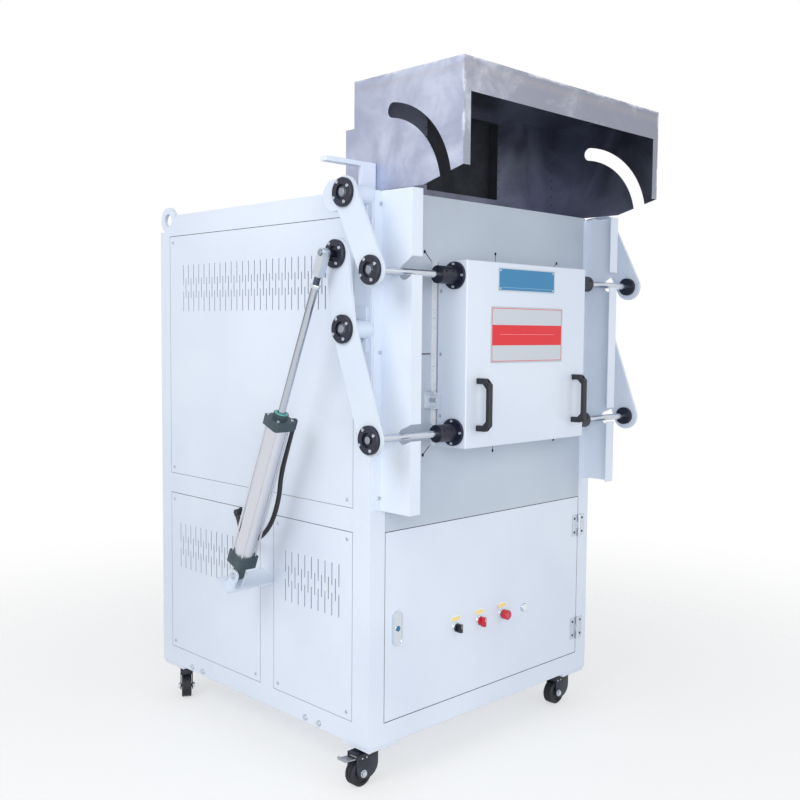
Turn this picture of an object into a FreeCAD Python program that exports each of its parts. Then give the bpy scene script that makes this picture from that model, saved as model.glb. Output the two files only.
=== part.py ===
import FreeCAD, Part
import math
import os

from FreeCAD import Vector

# Frame axes while modelling: X to the right, Y to the back, Z up, in millimetres.
# The zero point is the cabinet's front left lower corner. The last step moves the
# whole furnace so that the origin is the centre of its footprint on the floor.

# Cabinet frame
width = 1000.0
depth = 1047.0
height = 1503.0
tube_wall = 2.5
front_post_w = 55.0
front_post_d = 70.0
rear_post = 57.0
rear_post_top = height - 44.0
side_rail_w = 50.0
rail = 60.0
mid_rail_z = 589.0
mid_rail_h = 65.5
mid_post_y = 424.0
mid_post_w = 66.0
beam = 60.0
beam_inset = 25.0
front_beam_y = 150.0
rear_beam_y = 700.0
weld_tab = 36.0
weld_tab_t = 3.0

# Sheet covers
sheet = 2.0
seam = 1.0
screw_inset = 22.0
screw_r = 2.5
screw_head_r = 4.5
screw_head_h = 2.5
screw_play = 0.25
cover_rise = 8.0
rail_bolt_ys = (210.0, 271.0, 804.0, 865.0)
rail_bolt_z = 15.0

# Vent slits
slit_length = 65.0
slit_width = 3.5
slit_pitch = 30.0
slit_row_step = 43.0
slit_rows_n = 3
lower_vent_top = mid_rail_z - 98.0
upper_vent_top = height - 157.0
rear_vent_top = upper_vent_top - 100.0
rear_vent_columns = 11
upper_vent_margins = (119.0, 81.0)
rear_vent_margins = (84.0, 56.0)
front_vent_margins = (57.0, 57.0)

# Furnace mouth and chamber
mouth_z = height - 429.0
mouth_frame_w = 543.0
mouth_frame_h = 514.0
mouth_frame_t = 18.0
channel_z = mouth_z - 151.0
channel_h = 45.0
channel_w = 24.0
channel_l = 38.0
channel_t = 3.0
channel_bolt_r = 5.0
channel_bolt_h = 5.0
channel_bolt_ys = (-13.3, -26.6)
bracket_play = 3.0
mouth_w = 420.0
mouth_h = 360.0
chamber_w = 360.0
chamber_h = 300.0
chamber_d = 560.0
case_w = 700.0
case_d = 858.0
case_sheet = 3.0
relief_slit = 3.0
relief_hole_r = 5.0
relief_reach = 30.0
relief_side = 41.0
relief_top = 37.0
relief_rise = 25.5
hearth_t = 20.0
hearth_play = 6.0
hearth_front = 18.0
element_r = 9.0
element_gap = 22.0
element_hole_play = 1.0
element_lid_play = 4.0
element_collar_r = 18.0
element_collar_h = 18.0
element_rows = (140.0, 300.0, 460.0)
element_tip_gap = 25.0
element_rise = 45.0
probe_r = 6.0
probe_reach = 60.0
probe_head_r = 25.0
probe_head_l = 70.0

# Furnace door
door_w = 545.0
door_h = 514.0
door_t = 106.0
door_back_y = -26.0
door_sheet = 3.0
door_round = 3.0
plug_play = 15.0
plug_draft = 6.0
plug_gap = 2.0
seal_w = 22.0
seal_in = 10.0
handle_z = mouth_z - 137.0
handle_l = 146.0
handle_section = 16.0
handle_stand = 48.0
handle_grip_t = 12.8
handle_foot_l = 25.6
handle_corner_l = 28.8
handle_spread = 440.0
handle_mid_x = 497.5
badge_w = 258.0
badge_h = 66.0
badge_z = mouth_z + 210.0
badge_mid_x = 486.0
notice_w = 328.0
notice_h = 158.0
notice_z = mouth_z + 55.0
notice_mid_x = 492.0
plaque_t = 1.5

# Door linkage
pivot_y = 15.5
upper_pivot_z = height - 12.0
lower_pivot_z = upper_pivot_z - 350.0
upper_arm = 227.0
lower_arm = 299.0
rod_line_y = -89.0
upper_open_angle = 170.0
crank = 197.0
crank_lead = 8.7
arm_r = 43.0
arm_t = 9.0
arm_offset = 76.0
arm_cam_r = 40.5
arm_cam_back = 43.0
arm_cam_drop = 5.0
flange_r = 37.5
flange_t = 11.0
flange_recess_r = 20.0
flange_recess = 6.0
flange_chamfer = 2.5
hub_r = 28.0
hub_l = 12.0
sleeve_r = 22.5
shaft_r = 10.0
run_play = 0.05
side_gap = 0.3
boss_r = 24.0
boss_plate_t = 8.0
boss_plate_front = 14.0
boss_plate_h = 120.0
clip_t = 1.5
clip_r = 14.0
shaft_end = 2.0
door_flange_t = 8.0
door_hub_r = 24.0
door_hub_l = 64.0
clamp_slit = 3.0
clamp_slit_l = 44.8

# Stops on top of the front posts
stop_bar_t = 12.0
stop_bar_w = 26.0
stop_z = height + 81.0
stop_plate_t = 10.0
stop_foot_t = 8.0
stop_reach = 117.0
stop_play = 0.5

# Column guards
guard_sheet = 3.0
guard_x = 35.0
guard_front = 116.5
guard_flange = 36.0
guard_foot_z = mid_rail_z + mid_rail_h
guard_top_z = height + 2.0
guard_lip = 30.0
guard_screw_in = 8.0
guard_screws_n = 5
guard_screw_ends = 34.0
rod_slot_w = 40.0
upper_notch_angle = 30.0
lower_notch_angle = 25.0

# Hood
hood_sheet = 2.0
hood_front = 268.0
hood_back = 134.0
hood_top = height + 310.0
hood_fascia_h = 84.0
hood_lip = 24.0
hood_slant_z = height + 46.0
hood_slant_y = -131.0
hood_slot_from = 96.0
hood_slot_past = 1.5
flue_w = 320.0
flue_h = 237.0
flue_z = height + 169.0
flue_l = 36.0
flue_flange = 26.0
flue_bolt_in = 13.0
flue_bolt_r = 4.5
hood_angle = 34.0
hood_angle_top = height + 184.0

# Lifting eyes
eye_r = 42.0
eye_hole_r = 21.0
eye_t = 12.0
eye_sink = 4.0
eye_back = 46.5
eye_clear = 10.0

# Pneumatic cylinder, measured along its own axis from its base pin
cylinder_x = 125.0
base_pin_y = 427.0
base_pin_z = 428.0
bore_r = 25.0
barrel_r = 28.0
cap_side = 65.0
cap_chamfer = 5.0
rear_cap_start = 38.0
rear_cap_l = 36.0
front_cap_start = 482.0
front_cap_l = 28.0
nose_r = 21.0
nose_l = 14.0
tie_r = 3.0
tie_spacing = 46.5
rod_r = 10.0
piston_t = 22.0
piston_play = 0.1
piston_start = 452.0
rod_end_reach = 97.0
nut_t = 12.0
nut_across = 30.0
thread_r = 8.0
rod_eye_r = 20.0
rod_eye_t = 26.0
rod_eye_neck = 13.0
pin_end = 4.0
base_eye_t = 20.0
base_eye_r = 15.0
base_pin_r = 6.0
lug_t = 6.0
lug_r = 17.0
bracket_tilt = 30.0
bracket_l = 64.0
bracket_t = 6.0
bracket_reach = 165.0
bracket_drop = 35.7
bracket_shift = 6.0
elbow_r = 8.5
elbow_out = 22.0
elbow_down = 24.0

# Air hose
hose_r = 7.0
hose_gap = 0.5
bulkhead_y = 589.0
bulkhead_z = mid_rail_z - 13.0
bulkhead_out = 18.0
bulkhead_drop = 10.0
bulkhead_turn = 30.0
bulkhead_nut = 22.0
bulkhead_nut_t = 5.0
hose_straight = 48.0
bend_share = 0.45

# Lower cabinet door and its controls
lower_door_play = 1.5
lower_door_z = 62.0
lower_door_top = mid_rail_z + 1.0
lower_door_edge = 20.0
hinge_axis_y = -6.0
hinge_knuckle_r = 5.5
hinge_pin_r = 3.0
hinge_h = 72.0
hinge_leaf = 31.5
hinge_split = 0.75
hinge_t = 2.5
hinge_zs = (110.0, mid_rail_z - 130.0)
lock_x = 101.0
lock_z = 318.0
lock_w = 36.0
lock_h = 99.0
lock_t = 6.0
lock_r = 9.0
lock_proud = 1.0
cam_l = 34.0
cam_t = 3.5
cam_gap = 2.5
control_z = 270.0
control_xs = (345.0, 450.0, 555.0, 660.0)
bezel_r = 15.0
bezel_t = 4.0
operator_r = 11.0
block_y = 18.0
block_side = 30.0
block_l = 32.0
spindle_r = 8.0
knob_r = 12.0
knob_h = 20.0
skirt_t = 5.0
grip_w = 9.0
button_r = 14.5
button_h = 20.0
button_chamfer = 2.0
button_travel = 4.0
lamp_r = 11.5
lamp_rise = 9.0
label_w = 39.0
label_h = 11.0
label_t = 1.0
label_rise = 26.0

# Casters
pad_side = 112.0
pad_t = 12.0
pad_inset = 4.0
caster_h = 105.0
caster_in = 55.0
wheel_r = 37.5
wheel_w = 32.0
wheel_play = 1.5
axle_r = 5.0
trail = 42.0
nut_l = 6.0
axle_nut = 15.0
fork_t = 3.0
top_plate = 86.0
top_plate_t = 3.0
race_r = 30.0
race_h = 5.0
crown_t = 4.0
king_r = 6.0
king_head_r = 9.0
king_head_t = 3.0
crown_rim = 2.0
cheek_back = 13.0
cheek_foot = 9.0
cheek_foot_drop = 10.0
cheek_back_rise = 4.0
cheek_front_in = 6.0
cheek_front_drop = 12.0
ear_margin = 9.0
tread_groove = 2.0
tread_groove_w = 3.0
tread_round = 2.5
tyre_t = 10.0
wheel_dish = 4.0
wheel_hub_t = 7.0
pedal_l = 50.0
pedal_w = 33.0
pedal_t = 4.0
pedal_lip = 4.0
pedal_hub_r = 6.5
pedal_pin_r = 3.0
pedal_pin_x = 14.0
pedal_pin_drop = 10.0
pedal_lift = 6.0

# Electrical gear in the lower compartment
gear_plate_w = 380.0
gear_plate_h = 400.0
gear_plate_t = 3.0
gear_plate_y = 560.0
gear_foot = 45.0
contactor_w = 60.0
contactor_h = 80.0
contactor_d = 85.0
contactor_rise = 260.0
contactor_pitch = 75.0
contactor_x = 30.0
fins_w = 140.0
fins_h = 140.0
fins_d = 60.0
fins_base = 20.0
fins_x = 40.0
fins_rise = 60.0
fin_gap = 8.0
fin_pitch = 15.8
fin_edge = 10.0
valve_x = 230.0
valve_w = 100.0
valve_h = 35.0
valve_d = 40.0
valve_rise = 90.0
coil_l = 35.0
coil_r = 15.0
core_x = 180.0
core_y = 520.0
core_w = 240.0
core_h = 200.0
core_t = 90.0
core_limb = 50.0
winding_out = 30.0
winding_gap = 2.0
winding_play = 1.0
tray_lip = 20.0

# Derived places
mid_rail_top = mid_rail_z + mid_rail_h
rear_inner = depth - rear_post
mouth_x = width / 2
chamber_x0 = mouth_x - chamber_w / 2
chamber_z0 = mouth_z - chamber_h / 2
case_x0 = mouth_x - case_w / 2
case_z0 = mid_rail_top + beam
case_z1 = 2 * mouth_z - case_z0
case_y1 = sheet + case_d
cover_top = height + cover_rise
guard_screw_x = guard_x - guard_screw_in
guard_screw_step = (guard_top_z - guard_foot_z - 2 * guard_screw_ends) / (guard_screws_n - 1)
guard_screw_zs = [guard_foot_z + guard_screw_ends + i * guard_screw_step for i in range(guard_screws_n)]
door_front_y = door_back_y - door_t
floor_z = -pad_t - caster_h
axle_z = floor_z + wheel_r
upper_rest_angle = math.degrees(math.asin((pivot_y - rod_line_y) / upper_arm))
lower_rest_angle = math.degrees(math.asin((pivot_y - rod_line_y) / lower_arm))


def swing(pivot, radius, angle):
    """Point (y, z) at an angle that grows from straight down, forward and up."""
    turn = math.radians(angle)
    return (pivot[0] - radius * math.sin(turn), pivot[1] - radius * math.cos(turn))


upper_pivot = (pivot_y, upper_pivot_z)
lower_pivot = (pivot_y, lower_pivot_z)
upper_rod = swing(upper_pivot, upper_arm, upper_rest_angle)
lower_rod = swing(lower_pivot, lower_arm, lower_rest_angle)
crank_pin = swing(lower_pivot, crank, 180.0 + crank_lead)
base_pin = (base_pin_y, base_pin_z)


def span(a, b):
    return math.hypot(b[0] - a[0], b[1] - a[1])


def lean(a, b):
    """Angle in degrees by which the line from a to b leans forward from upright."""
    return math.degrees(math.atan2(a[0] - b[0], b[1] - a[1]))


def solve_linkage():
    """Open positions of the four-bar linkage and of the cylinder that drives it."""
    upper_open = swing(upper_pivot, upper_arm, upper_open_angle)
    link = span(lower_rod, upper_rod)
    reach = span(lower_pivot, upper_open)
    cosine = (reach ** 2 + lower_arm ** 2 - link ** 2) / (2 * reach * lower_arm)
    ahead, drop = lower_pivot[0] - upper_open[0], lower_pivot[1] - upper_open[1]
    towards = math.degrees(math.atan2(ahead, drop))
    lower_open_angle = towards - math.degrees(math.acos(cosine))
    lower_open = swing(lower_pivot, lower_arm, lower_open_angle)
    lower_travel = lower_open_angle - lower_rest_angle
    pin_open = swing(lower_pivot, crank, 180.0 + crank_lead + lower_travel)
    return {
        "upper_travel": upper_open_angle - upper_rest_angle,
        "lower_travel": lower_travel,
        "door_tilt": lean(lower_rod, upper_rod) - lean(lower_open, upper_open),
        "cylinder_swing": lean(base_pin, crank_pin) - lean(base_pin, pin_open),
        "stroke": span(base_pin, crank_pin) - span(base_pin, pin_open),
    }


linkage = solve_linkage()
rod_length = span(base_pin, crank_pin)
cylinder_lean = lean(base_pin, crank_pin)


# Basic solids

def box(x0, x1, y0, y1, z0, z1):
    return Part.makeBox(x1 - x0, y1 - y0, z1 - z0, Vector(x0, y0, z0))


def rod_x(x0, x1, y, z, radius):
    return Part.makeCylinder(radius, x1 - x0, Vector(x0, y, z), Vector(1, 0, 0))


def rod_y(x, y0, y1, z, radius):
    return Part.makeCylinder(radius, y1 - y0, Vector(x, y0, z), Vector(0, 1, 0))


def rod_z(x, y, z0, z1, radius):
    return Part.makeCylinder(radius, z1 - z0, Vector(x, y, z0), Vector(0, 0, 1))


def tube(axis, x0, x1, y0, y1, z0, z1):
    """Square tube, open at both ends along its axis."""
    t = tube_wall
    wall = {"x": (0, t, t), "y": (t, 0, t), "z": (t, t, 0)}[axis]
    inner = box(x0 + wall[0], x1 - wall[0], y0 + wall[1], y1 - wall[1], z0 + wall[2], z1 - wall[2])
    return box(x0, x1, y0, y1, z0, z1).cut(inner)


def group(solids):
    return Part.makeCompound([s for piece in solids for s in piece.Solids])


def mirrored(shape):
    return shape.mirror(Vector(width / 2, 0, 0), Vector(1, 0, 0))


def both_sides(shapes):
    return shapes + [mirrored(s) for s in shapes]


# Plates cut from flat outlines

def rect(u0, v0, u1, v1):
    corners = [Vector(u0, v0, 0), Vector(u1, v0, 0), Vector(u1, v1, 0), Vector(u0, v1, 0)]
    return Part.makePolygon(corners + corners[:1])


def disc(u, v, radius):
    return Part.Wire([Part.makeCircle(radius, Vector(u, v, 0))])


def polygon(points):
    corners = [Vector(u, v, 0) for u, v in points]
    return Part.makePolygon(corners + corners[:1])


def slot(a, b, half):
    """Round-ended outline round the line from a to b."""
    a = Vector(a[0], a[1], 0)
    b = Vector(b[0], b[1], 0)
    along = (b - a).normalize() * half
    side = Vector(-along.y, along.x, 0)
    return Part.Wire([
        Part.LineSegment(a - side, b - side).toShape(),
        Part.Arc(b - side, b + along, b + side).toShape(),
        Part.LineSegment(b + side, a + side).toShape(),
        Part.Arc(a + side, a - along, a - side).toShape(),
    ])


def upright_slit(u, top):
    half = slit_width / 2
    return slot((u, top - slit_length + half), (u, top - half), half)


def arc_slot(pivot, radius, half, start, stop):
    """Round-ended outline along an arc about a pivot."""
    def at(distance, angle):
        y, z = swing(pivot, distance, angle)
        return Vector(y, z, 0)

    def cap(angle, side):
        turn = math.radians(angle)
        return at(radius, angle) + Vector(-math.cos(turn), math.sin(turn), 0) * half * side

    middle = (start + stop) / 2
    outer = radius + half
    inner = radius - half
    return Part.Wire([
        Part.Arc(at(outer, start), at(outer, middle), at(outer, stop)).toShape(),
        Part.Arc(at(outer, stop), cap(stop, 1), at(inner, stop)).toShape(),
        Part.Arc(at(inner, stop), at(inner, middle), at(inner, start)).toShape(),
        Part.Arc(at(inner, start), cap(start, -1), at(outer, start)).toShape(),
    ])


def plate(plane, at, thickness, outline, holes=()):
    """Sheet from outlines drawn in (y, z), (x, z) or (x, y), from at to at + thickness."""
    face = Part.makeFace([outline] + list(holes), "Part::FaceMakerBullseye")
    solid = face.extrude(Vector(0, 0, thickness))
    if plane == "x":
        turn = FreeCAD.Matrix(0, 0, 1, at, 1, 0, 0, 0, 0, 1, 0, 0, 0, 0, 0, 1)
    elif plane == "y":
        turn = FreeCAD.Matrix(1, 0, 0, 0, 0, 0, -1, at + thickness, 0, 1, 0, 0, 0, 0, 0, 1)
    else:
        turn = FreeCAD.Matrix(1, 0, 0, 0, 0, 1, 0, 0, 0, 0, 1, at, 0, 0, 0, 1)
    solid.Placement = FreeCAD.Placement(turn)
    return solid


def chamfered(shape, size, wanted):
    edges = [e for e in shape.Edges if wanted(e)]
    return shape.makeChamfer(size, edges)


# Cabinet frame and covers

side_openings = {
    "upper": (front_post_d, rear_inner, mid_rail_top, height - rail),
    "front": (front_post_d, mid_post_y, rail, mid_rail_z),
    "rear": (mid_post_y + mid_post_w, rear_inner, rail, mid_rail_z),
}
back_openings = {
    "lower": (rear_post, width - rear_post, rail, mid_rail_z),
    "upper": (rear_post, width - rear_post, mid_rail_top, rear_post_top - rail),
}


def corners_of(opening):
    """Screw places in the corners of an opening, with the direction into the corner."""
    u0, u1, v0, v1 = opening
    for u, toward_u in ((u0 + screw_inset, -1), (u1 - screw_inset, 1)):
        for v, toward_v in ((v0 + screw_inset, -1), (v1 - screw_inset, 1)):
            yield u, v, toward_u, toward_v


def weld_tabs(plane, at, opening):
    tabs = []
    for u, v, toward_u, toward_v in corners_of(opening):
        u0, u1 = sorted((u + toward_u * screw_inset, u + toward_u * (screw_inset - weld_tab)))
        v0, v1 = sorted((v + toward_v * screw_inset, v + toward_v * (screw_inset - weld_tab)))
        tabs.append(plate(plane, at, weld_tab_t, rect(u0, v0, u1, v1), [disc(u, v, screw_r)]))
    return tabs


def side_frame():
    """The tubes of the left side, with the tabs that the side covers are screwed to."""
    tubes = [
        tube("z", 0, front_post_w, 0, front_post_d, 0, height),
        tube("z", 0, rear_post, rear_inner, depth, 0, rear_post_top),
        tube("z", 0, side_rail_w, mid_post_y, mid_post_y + mid_post_w, rail, mid_rail_z),
    ]
    for z in guard_screw_zs:
        tubes[0] = tubes[0].cut(rod_y(guard_screw_x, 0, tube_wall, z, screw_r))
    eye_front = depth - eye_back - eye_r
    rails = [(0, rail, rear_inner), (mid_rail_z, mid_rail_top, rear_inner)]
    for z0, z1, y1 in rails + [(height - rail, height, eye_front)]:
        tubes.append(tube("y", 0, side_rail_w, front_post_d, y1, z0, z1))
    for y in rail_bolt_ys:
        tubes[3] = tubes[3].cut(rod_x(0, tube_wall, y, rail_bolt_z, screw_r))
    for opening in side_openings.values():
        tubes += weld_tabs("x", sheet, opening)
    return tubes


def lifting_eye():
    """Lug that ends the top side rail and stands on the rear post, with its ring hole."""
    z = rear_post_top + eye_r - eye_sink
    y = depth - eye_back
    ring = plate("x", 0, eye_t, disc(y, z, eye_r))
    ring = ring.common(box(0, eye_t, y - eye_r, y + eye_r, rear_post_top, z + eye_r))
    root = box(0, eye_t, y - eye_r, rear_inner, height - rail, height)
    lug = ring.fuse(root).removeSplitter()
    return lug.cut(rod_x(0, eye_t, y, z, eye_hole_r))


braked_corner = "front_left"


def caster_places():
    """Swivel axis of each caster and the heading in which it trails."""
    return {
        "front_left": (caster_in, caster_in, 180.0),
        "front_right": (width - caster_in, caster_in, 180.0),
        "rear_left": (caster_in, depth - caster_in, 238.0),
        "rear_right": (width - caster_in, depth - caster_in, 130.0),
    }


def caster_pads():
    half = pad_side / 2
    pads = []
    for x, y, _ in caster_places().values():
        cx = min(max(x, half + pad_inset), width - half - pad_inset)
        cy = min(max(y, half + pad_inset), depth - half - pad_inset)
        pads.append(box(cx - half, cx + half, cy - half, cy + half, -pad_t, 0))
    return pads


def frame():
    across = [
        tube("x", front_post_w, width - front_post_w, 0, rail, 0, rail),
    ]
    for z1 in (mid_rail_top, height):
        across.append(tube("x", front_post_w, width - front_post_w, sheet, sheet + rail, z1 - rail, z1))
    for z1 in (rail, mid_rail_top, rear_post_top):
        across.append(tube("x", rear_post, width - rear_post, depth - rail, depth, z1 - rail, z1))
    for y in (front_beam_y, rear_beam_y):
        z0 = mid_rail_top
        across.append(tube("x", beam_inset, width - beam_inset, y, y + beam, z0, z0 + beam))
    for opening in back_openings.values():
        across += weld_tabs("y", depth - sheet - weld_tab_t, opening)
    return group(both_sides(side_frame() + [lifting_eye()]) + across + caster_pads())


def cover_outline(opening):
    u0, u1, v0, v1 = opening
    return rect(u0 + seam, v0 + seam, u1 - seam, v1 - seam)


def screw_holes(opening):
    return [disc(u, v, screw_r + screw_play) for u, v, _, _ in corners_of(opening)]


def slit_rows(first, columns, top):
    """Rows of slits, every second row of one less and set between the others."""
    slits = []
    for row in range(slit_rows_n):
        odd = row % 2
        for i in range(columns - odd):
            slits.append(upright_slit(first + (i + odd / 2) * slit_pitch, top - row * slit_row_step))
    return slits


def vents_between(opening, margins, top):
    """Slits that fill an opening's length up to a margin at its front and one at its rear."""
    first = opening[0] + margins[0]
    columns = 1 + round((opening[1] - margins[1] - first) / slit_pitch)
    return slit_rows(first, columns, top)


def side_covers():
    """The three covers of the left side, in the order upper, rear, front."""
    covers = []
    for name, margins, top in (("upper", upper_vent_margins, upper_vent_top),
                               ("rear", rear_vent_margins, lower_vent_top),
                               ("front", front_vent_margins, lower_vent_top)):
        opening = side_openings[name]
        holes = screw_holes(opening) + vents_between(opening, margins, top)
        covers.append(plate("x", 0, sheet, cover_outline(opening), holes))
    return covers


def rear_covers():
    first = mouth_x - (rear_vent_columns - 1) / 2 * slit_pitch
    tops = {"lower": lower_vent_top, "upper": rear_vent_top}
    sheets = []
    for name, opening in back_openings.items():
        holes = screw_holes(opening) + slit_rows(first, rear_vent_columns, tops[name])
        sheets.append(plate("y", depth - sheet, sheet, cover_outline(opening), holes))
    return sheets


def top_cover():
    """Shallow lid on the top rails that carries the hood, notched for the stops and eyes."""
    x0, x1 = seam, width - seam
    y0, y1 = sheet, rear_inner
    lid = box(x0, x1, y0, y1, height, cover_top)
    hollow = box(x0 + sheet, x1 - sheet, y0 + sheet, y1 - sheet, height, cover_top - sheet)
    eye_front = depth - eye_back - eye_r - seam
    notches = [(front_post_w + seam, y0, front_post_d + seam), (eye_t + eye_clear, eye_front, y1)]
    for x, start, stop in notches:
        for notch in both_sides([box(0, x, start, stop, height, cover_top)]):
            lid = lid.cut(notch)
        for wall in both_sides([box(0, x + sheet, start - sheet, stop + sheet, height, cover_top)]):
            hollow = hollow.cut(wall)
    return lid.cut(hollow)


def floor_tray():
    tray = box(front_post_w, width - front_post_w, rail / 2, depth - rail / 2, rail, rail + sheet)
    y0 = mid_post_y + mid_post_w
    ends = [box(side_rail_w, front_post_w, front_post_d, mid_post_y, rail, rail + sheet),
            box(side_rail_w - tray_lip, front_post_w, y0, rear_inner, rail, rail + sheet)]
    for end in both_sides(ends):
        tray = tray.fuse(end)
    for post in both_sides([box(0, rear_post + seam, rear_inner - seam, depth, 0, height)]):
        tray = tray.cut(post)
    return tray.removeSplitter()


def screw(base, direction, depth_in):
    """Pan head screw: the head stands on the face at base, the shank goes the other way."""
    out = Vector(*direction)
    head = Part.makeCylinder(screw_head_r, screw_head_h, base, out)
    shank = Part.makeCylinder(screw_r, depth_in, base, out * -1)
    return head.fuse(shank).removeSplitter()


def cabinet_screws():
    grip = sheet + weld_tab_t
    left = []
    for opening in side_openings.values():
        left += [screw(Vector(0, u, v), (-1, 0, 0), grip) for u, v, _, _ in corners_of(opening)]
    for y in rail_bolt_ys:
        left.append(screw(Vector(0, y, rail_bolt_z), (-1, 0, 0), tube_wall))
    for z in guard_screw_zs:
        left.append(screw(Vector(guard_screw_x, -guard_sheet, z), (0, -1, 0), guard_sheet + tube_wall))
    back = []
    for opening in back_openings.values():
        back += [screw(Vector(u, depth, v), (0, 1, 0), grip) for u, v, _, _ in corners_of(opening)]
    return group(both_sides(left) + back)


def front_panel():
    """Flush steel front with the mouth and its heat relief slits."""
    x0, x1 = front_post_w + seam, width - front_post_w - seam
    z0 = lower_door_top + seam + seam
    panel = plate("y", 0, sheet, rect(x0, z0, x1, cover_top), [mouth_outline(0)])
    out_w, out_h = mouth_frame_w / 2, mouth_frame_h / 2
    slits = []
    for side in (-1, 1):
        for up in (-1, 1):
            inner = (mouth_x + side * (out_w - relief_reach), mouth_z + up * (out_h - relief_reach))
            outer = (mouth_x + side * (out_w + relief_reach), mouth_z + up * (out_h + relief_rise))
            slits.append((inner, outer))
        inner, outer = side * (out_w - relief_reach), side * (out_w + relief_side)
        slits.append(((mouth_x + inner, mouth_z), (mouth_x + outer, mouth_z)))
        inner, outer = side * (out_h - relief_reach), side * (out_h + relief_top)
        slits.append(((mouth_x, mouth_z + inner), (mouth_x, mouth_z + outer)))
    for inner, outer in slits:
        panel = panel.cut(plate("y", 0, sheet, slot(inner, outer, relief_slit / 2)))
        panel = panel.cut(plate("y", 0, sheet, disc(outer[0], outer[1], relief_hole_r)))
    return panel


# Furnace body

def mouth_outline(grow):
    """The mouth's outline, larger all round by a margin, or smaller by a negative one."""
    half_w, half_h = mouth_w / 2 + grow, mouth_h / 2 + grow
    return rect(mouth_x - half_w, mouth_z - half_h, mouth_x + half_w, mouth_z + half_h)


def mouth_frame():
    """Four flat bars welded round the mouth."""
    out_w, out_h = mouth_frame_w / 2, mouth_frame_h / 2
    in_w, in_h = mouth_w / 2, mouth_h / 2
    uprights = [(-out_w, -in_w, -out_h, out_h), (in_w, out_w, -out_h, out_h)]
    level = [(-in_w, in_w, -out_h, -in_h), (-in_w, in_w, in_h, out_h)]
    return [box(mouth_x + u0, mouth_x + u1, -mouth_frame_t, 0, mouth_z + v0, mouth_z + v1)
            for u0, u1, v0, v1 in uprights + level]


def switch_bracket():
    """Channel beside the door for its position switch, with two bolts."""
    x1 = mouth_x - door_w / 2 - bracket_play
    x0 = x1 - channel_w
    t = channel_t
    z1 = channel_z + channel_h
    web = box(x1 - t, x1, -channel_l, 0, channel_z, z1)
    wings = [box(x0, x1, -channel_l, 0, z, z + t) for z in (channel_z, z1 - t)]
    back = box(x0, x1, -t, 0, channel_z, z1)
    z = channel_z + channel_h / 2
    bolts = [rod_x(x1 - t - channel_bolt_h, x1 - t, y, z, channel_bolt_r) for y in channel_bolt_ys]
    return [web.fuse(wings + [back]).removeSplitter()] + bolts


def furnace_case():
    """Five welded sheets round the insulation, open to the front panel."""
    x0, x1 = case_x0, case_x0 + case_w
    y0, y1 = sheet, case_y1
    t = case_sheet
    lid = box(x0, x1, y0, y1, case_z1 - t, case_z1)
    for x, y in element_places():
        lid = lid.cut(rod_z(x, y, case_z1 - t, case_z1, element_r + element_lid_play))
    back = box(x0, x1, y1 - t, y1, case_z0 + t, case_z1 - t)
    back = back.cut(rod_y(mouth_x, y1 - t, y1, mouth_z, probe_r + element_hole_play))
    return group([
        box(x0, x1, y0, y1, case_z0, case_z0 + t),
        lid,
        box(x0, x0 + t, y0, y1 - t, case_z0 + t, case_z1 - t),
        box(x1 - t, x1, y0, y1 - t, case_z0 + t, case_z1 - t),
        back,
    ])


def element_places():
    reach = chamber_w / 2 - element_gap
    return [(mouth_x + side * reach, y) for side in (-1, 1) for y in element_rows]


def chamber_lining():
    """Refractory blocks: floor, roof, two walls and a back."""
    x0, x1 = case_x0 + case_sheet, case_x0 + case_w - case_sheet
    y0, y1 = sheet, case_y1 - case_sheet
    z0, z1 = case_z0 + case_sheet, case_z1 - case_sheet
    chamber_x1 = chamber_x0 + chamber_w
    chamber_z1 = chamber_z0 + chamber_h
    back_y = sheet + chamber_d
    roof = box(x0, x1, y0, y1, chamber_z1, z1)
    for x, y in element_places():
        roof = roof.cut(rod_z(x, y, chamber_z1, z1, element_r + element_hole_play))
    back = box(chamber_x0, chamber_x1, back_y, y1, chamber_z0, chamber_z1)
    back = back.cut(rod_y(mouth_x, back_y, y1, mouth_z, probe_r + element_hole_play))
    return group([
        box(x0, x1, y0, y1, z0, chamber_z0),
        roof,
        box(x0, chamber_x0, y0, y1, chamber_z0, chamber_z1),
        box(chamber_x1, x1, y0, y1, chamber_z0, chamber_z1),
        back,
    ])


def hearth_plate():
    half = chamber_w / 2 - element_gap - element_r - hearth_play
    return box(mouth_x - half, mouth_x + half, hearth_front, sheet + chamber_d - hearth_play,
               chamber_z0, chamber_z0 + hearth_t)


def heating_elements():
    """Rod elements hung through the roof, each with a terminal clamp that rests on the case."""
    rods = []
    for x, y in element_places():
        rod = rod_z(x, y, chamber_z0 + element_tip_gap, case_z1 + element_rise, element_r)
        collar = rod_z(x, y, case_z1, case_z1 + element_collar_h, element_collar_r)
        rods.append(rod.fuse(collar).removeSplitter())
    return group(rods)


def thermocouple():
    back_y = sheet + chamber_d
    sheath = rod_y(mouth_x, back_y - probe_reach, case_y1, mouth_z, probe_r)
    head = rod_y(mouth_x, case_y1, case_y1 + probe_head_l, mouth_z, probe_head_r)
    return sheath.fuse(head).removeSplitter()


# Electrical gear

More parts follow.
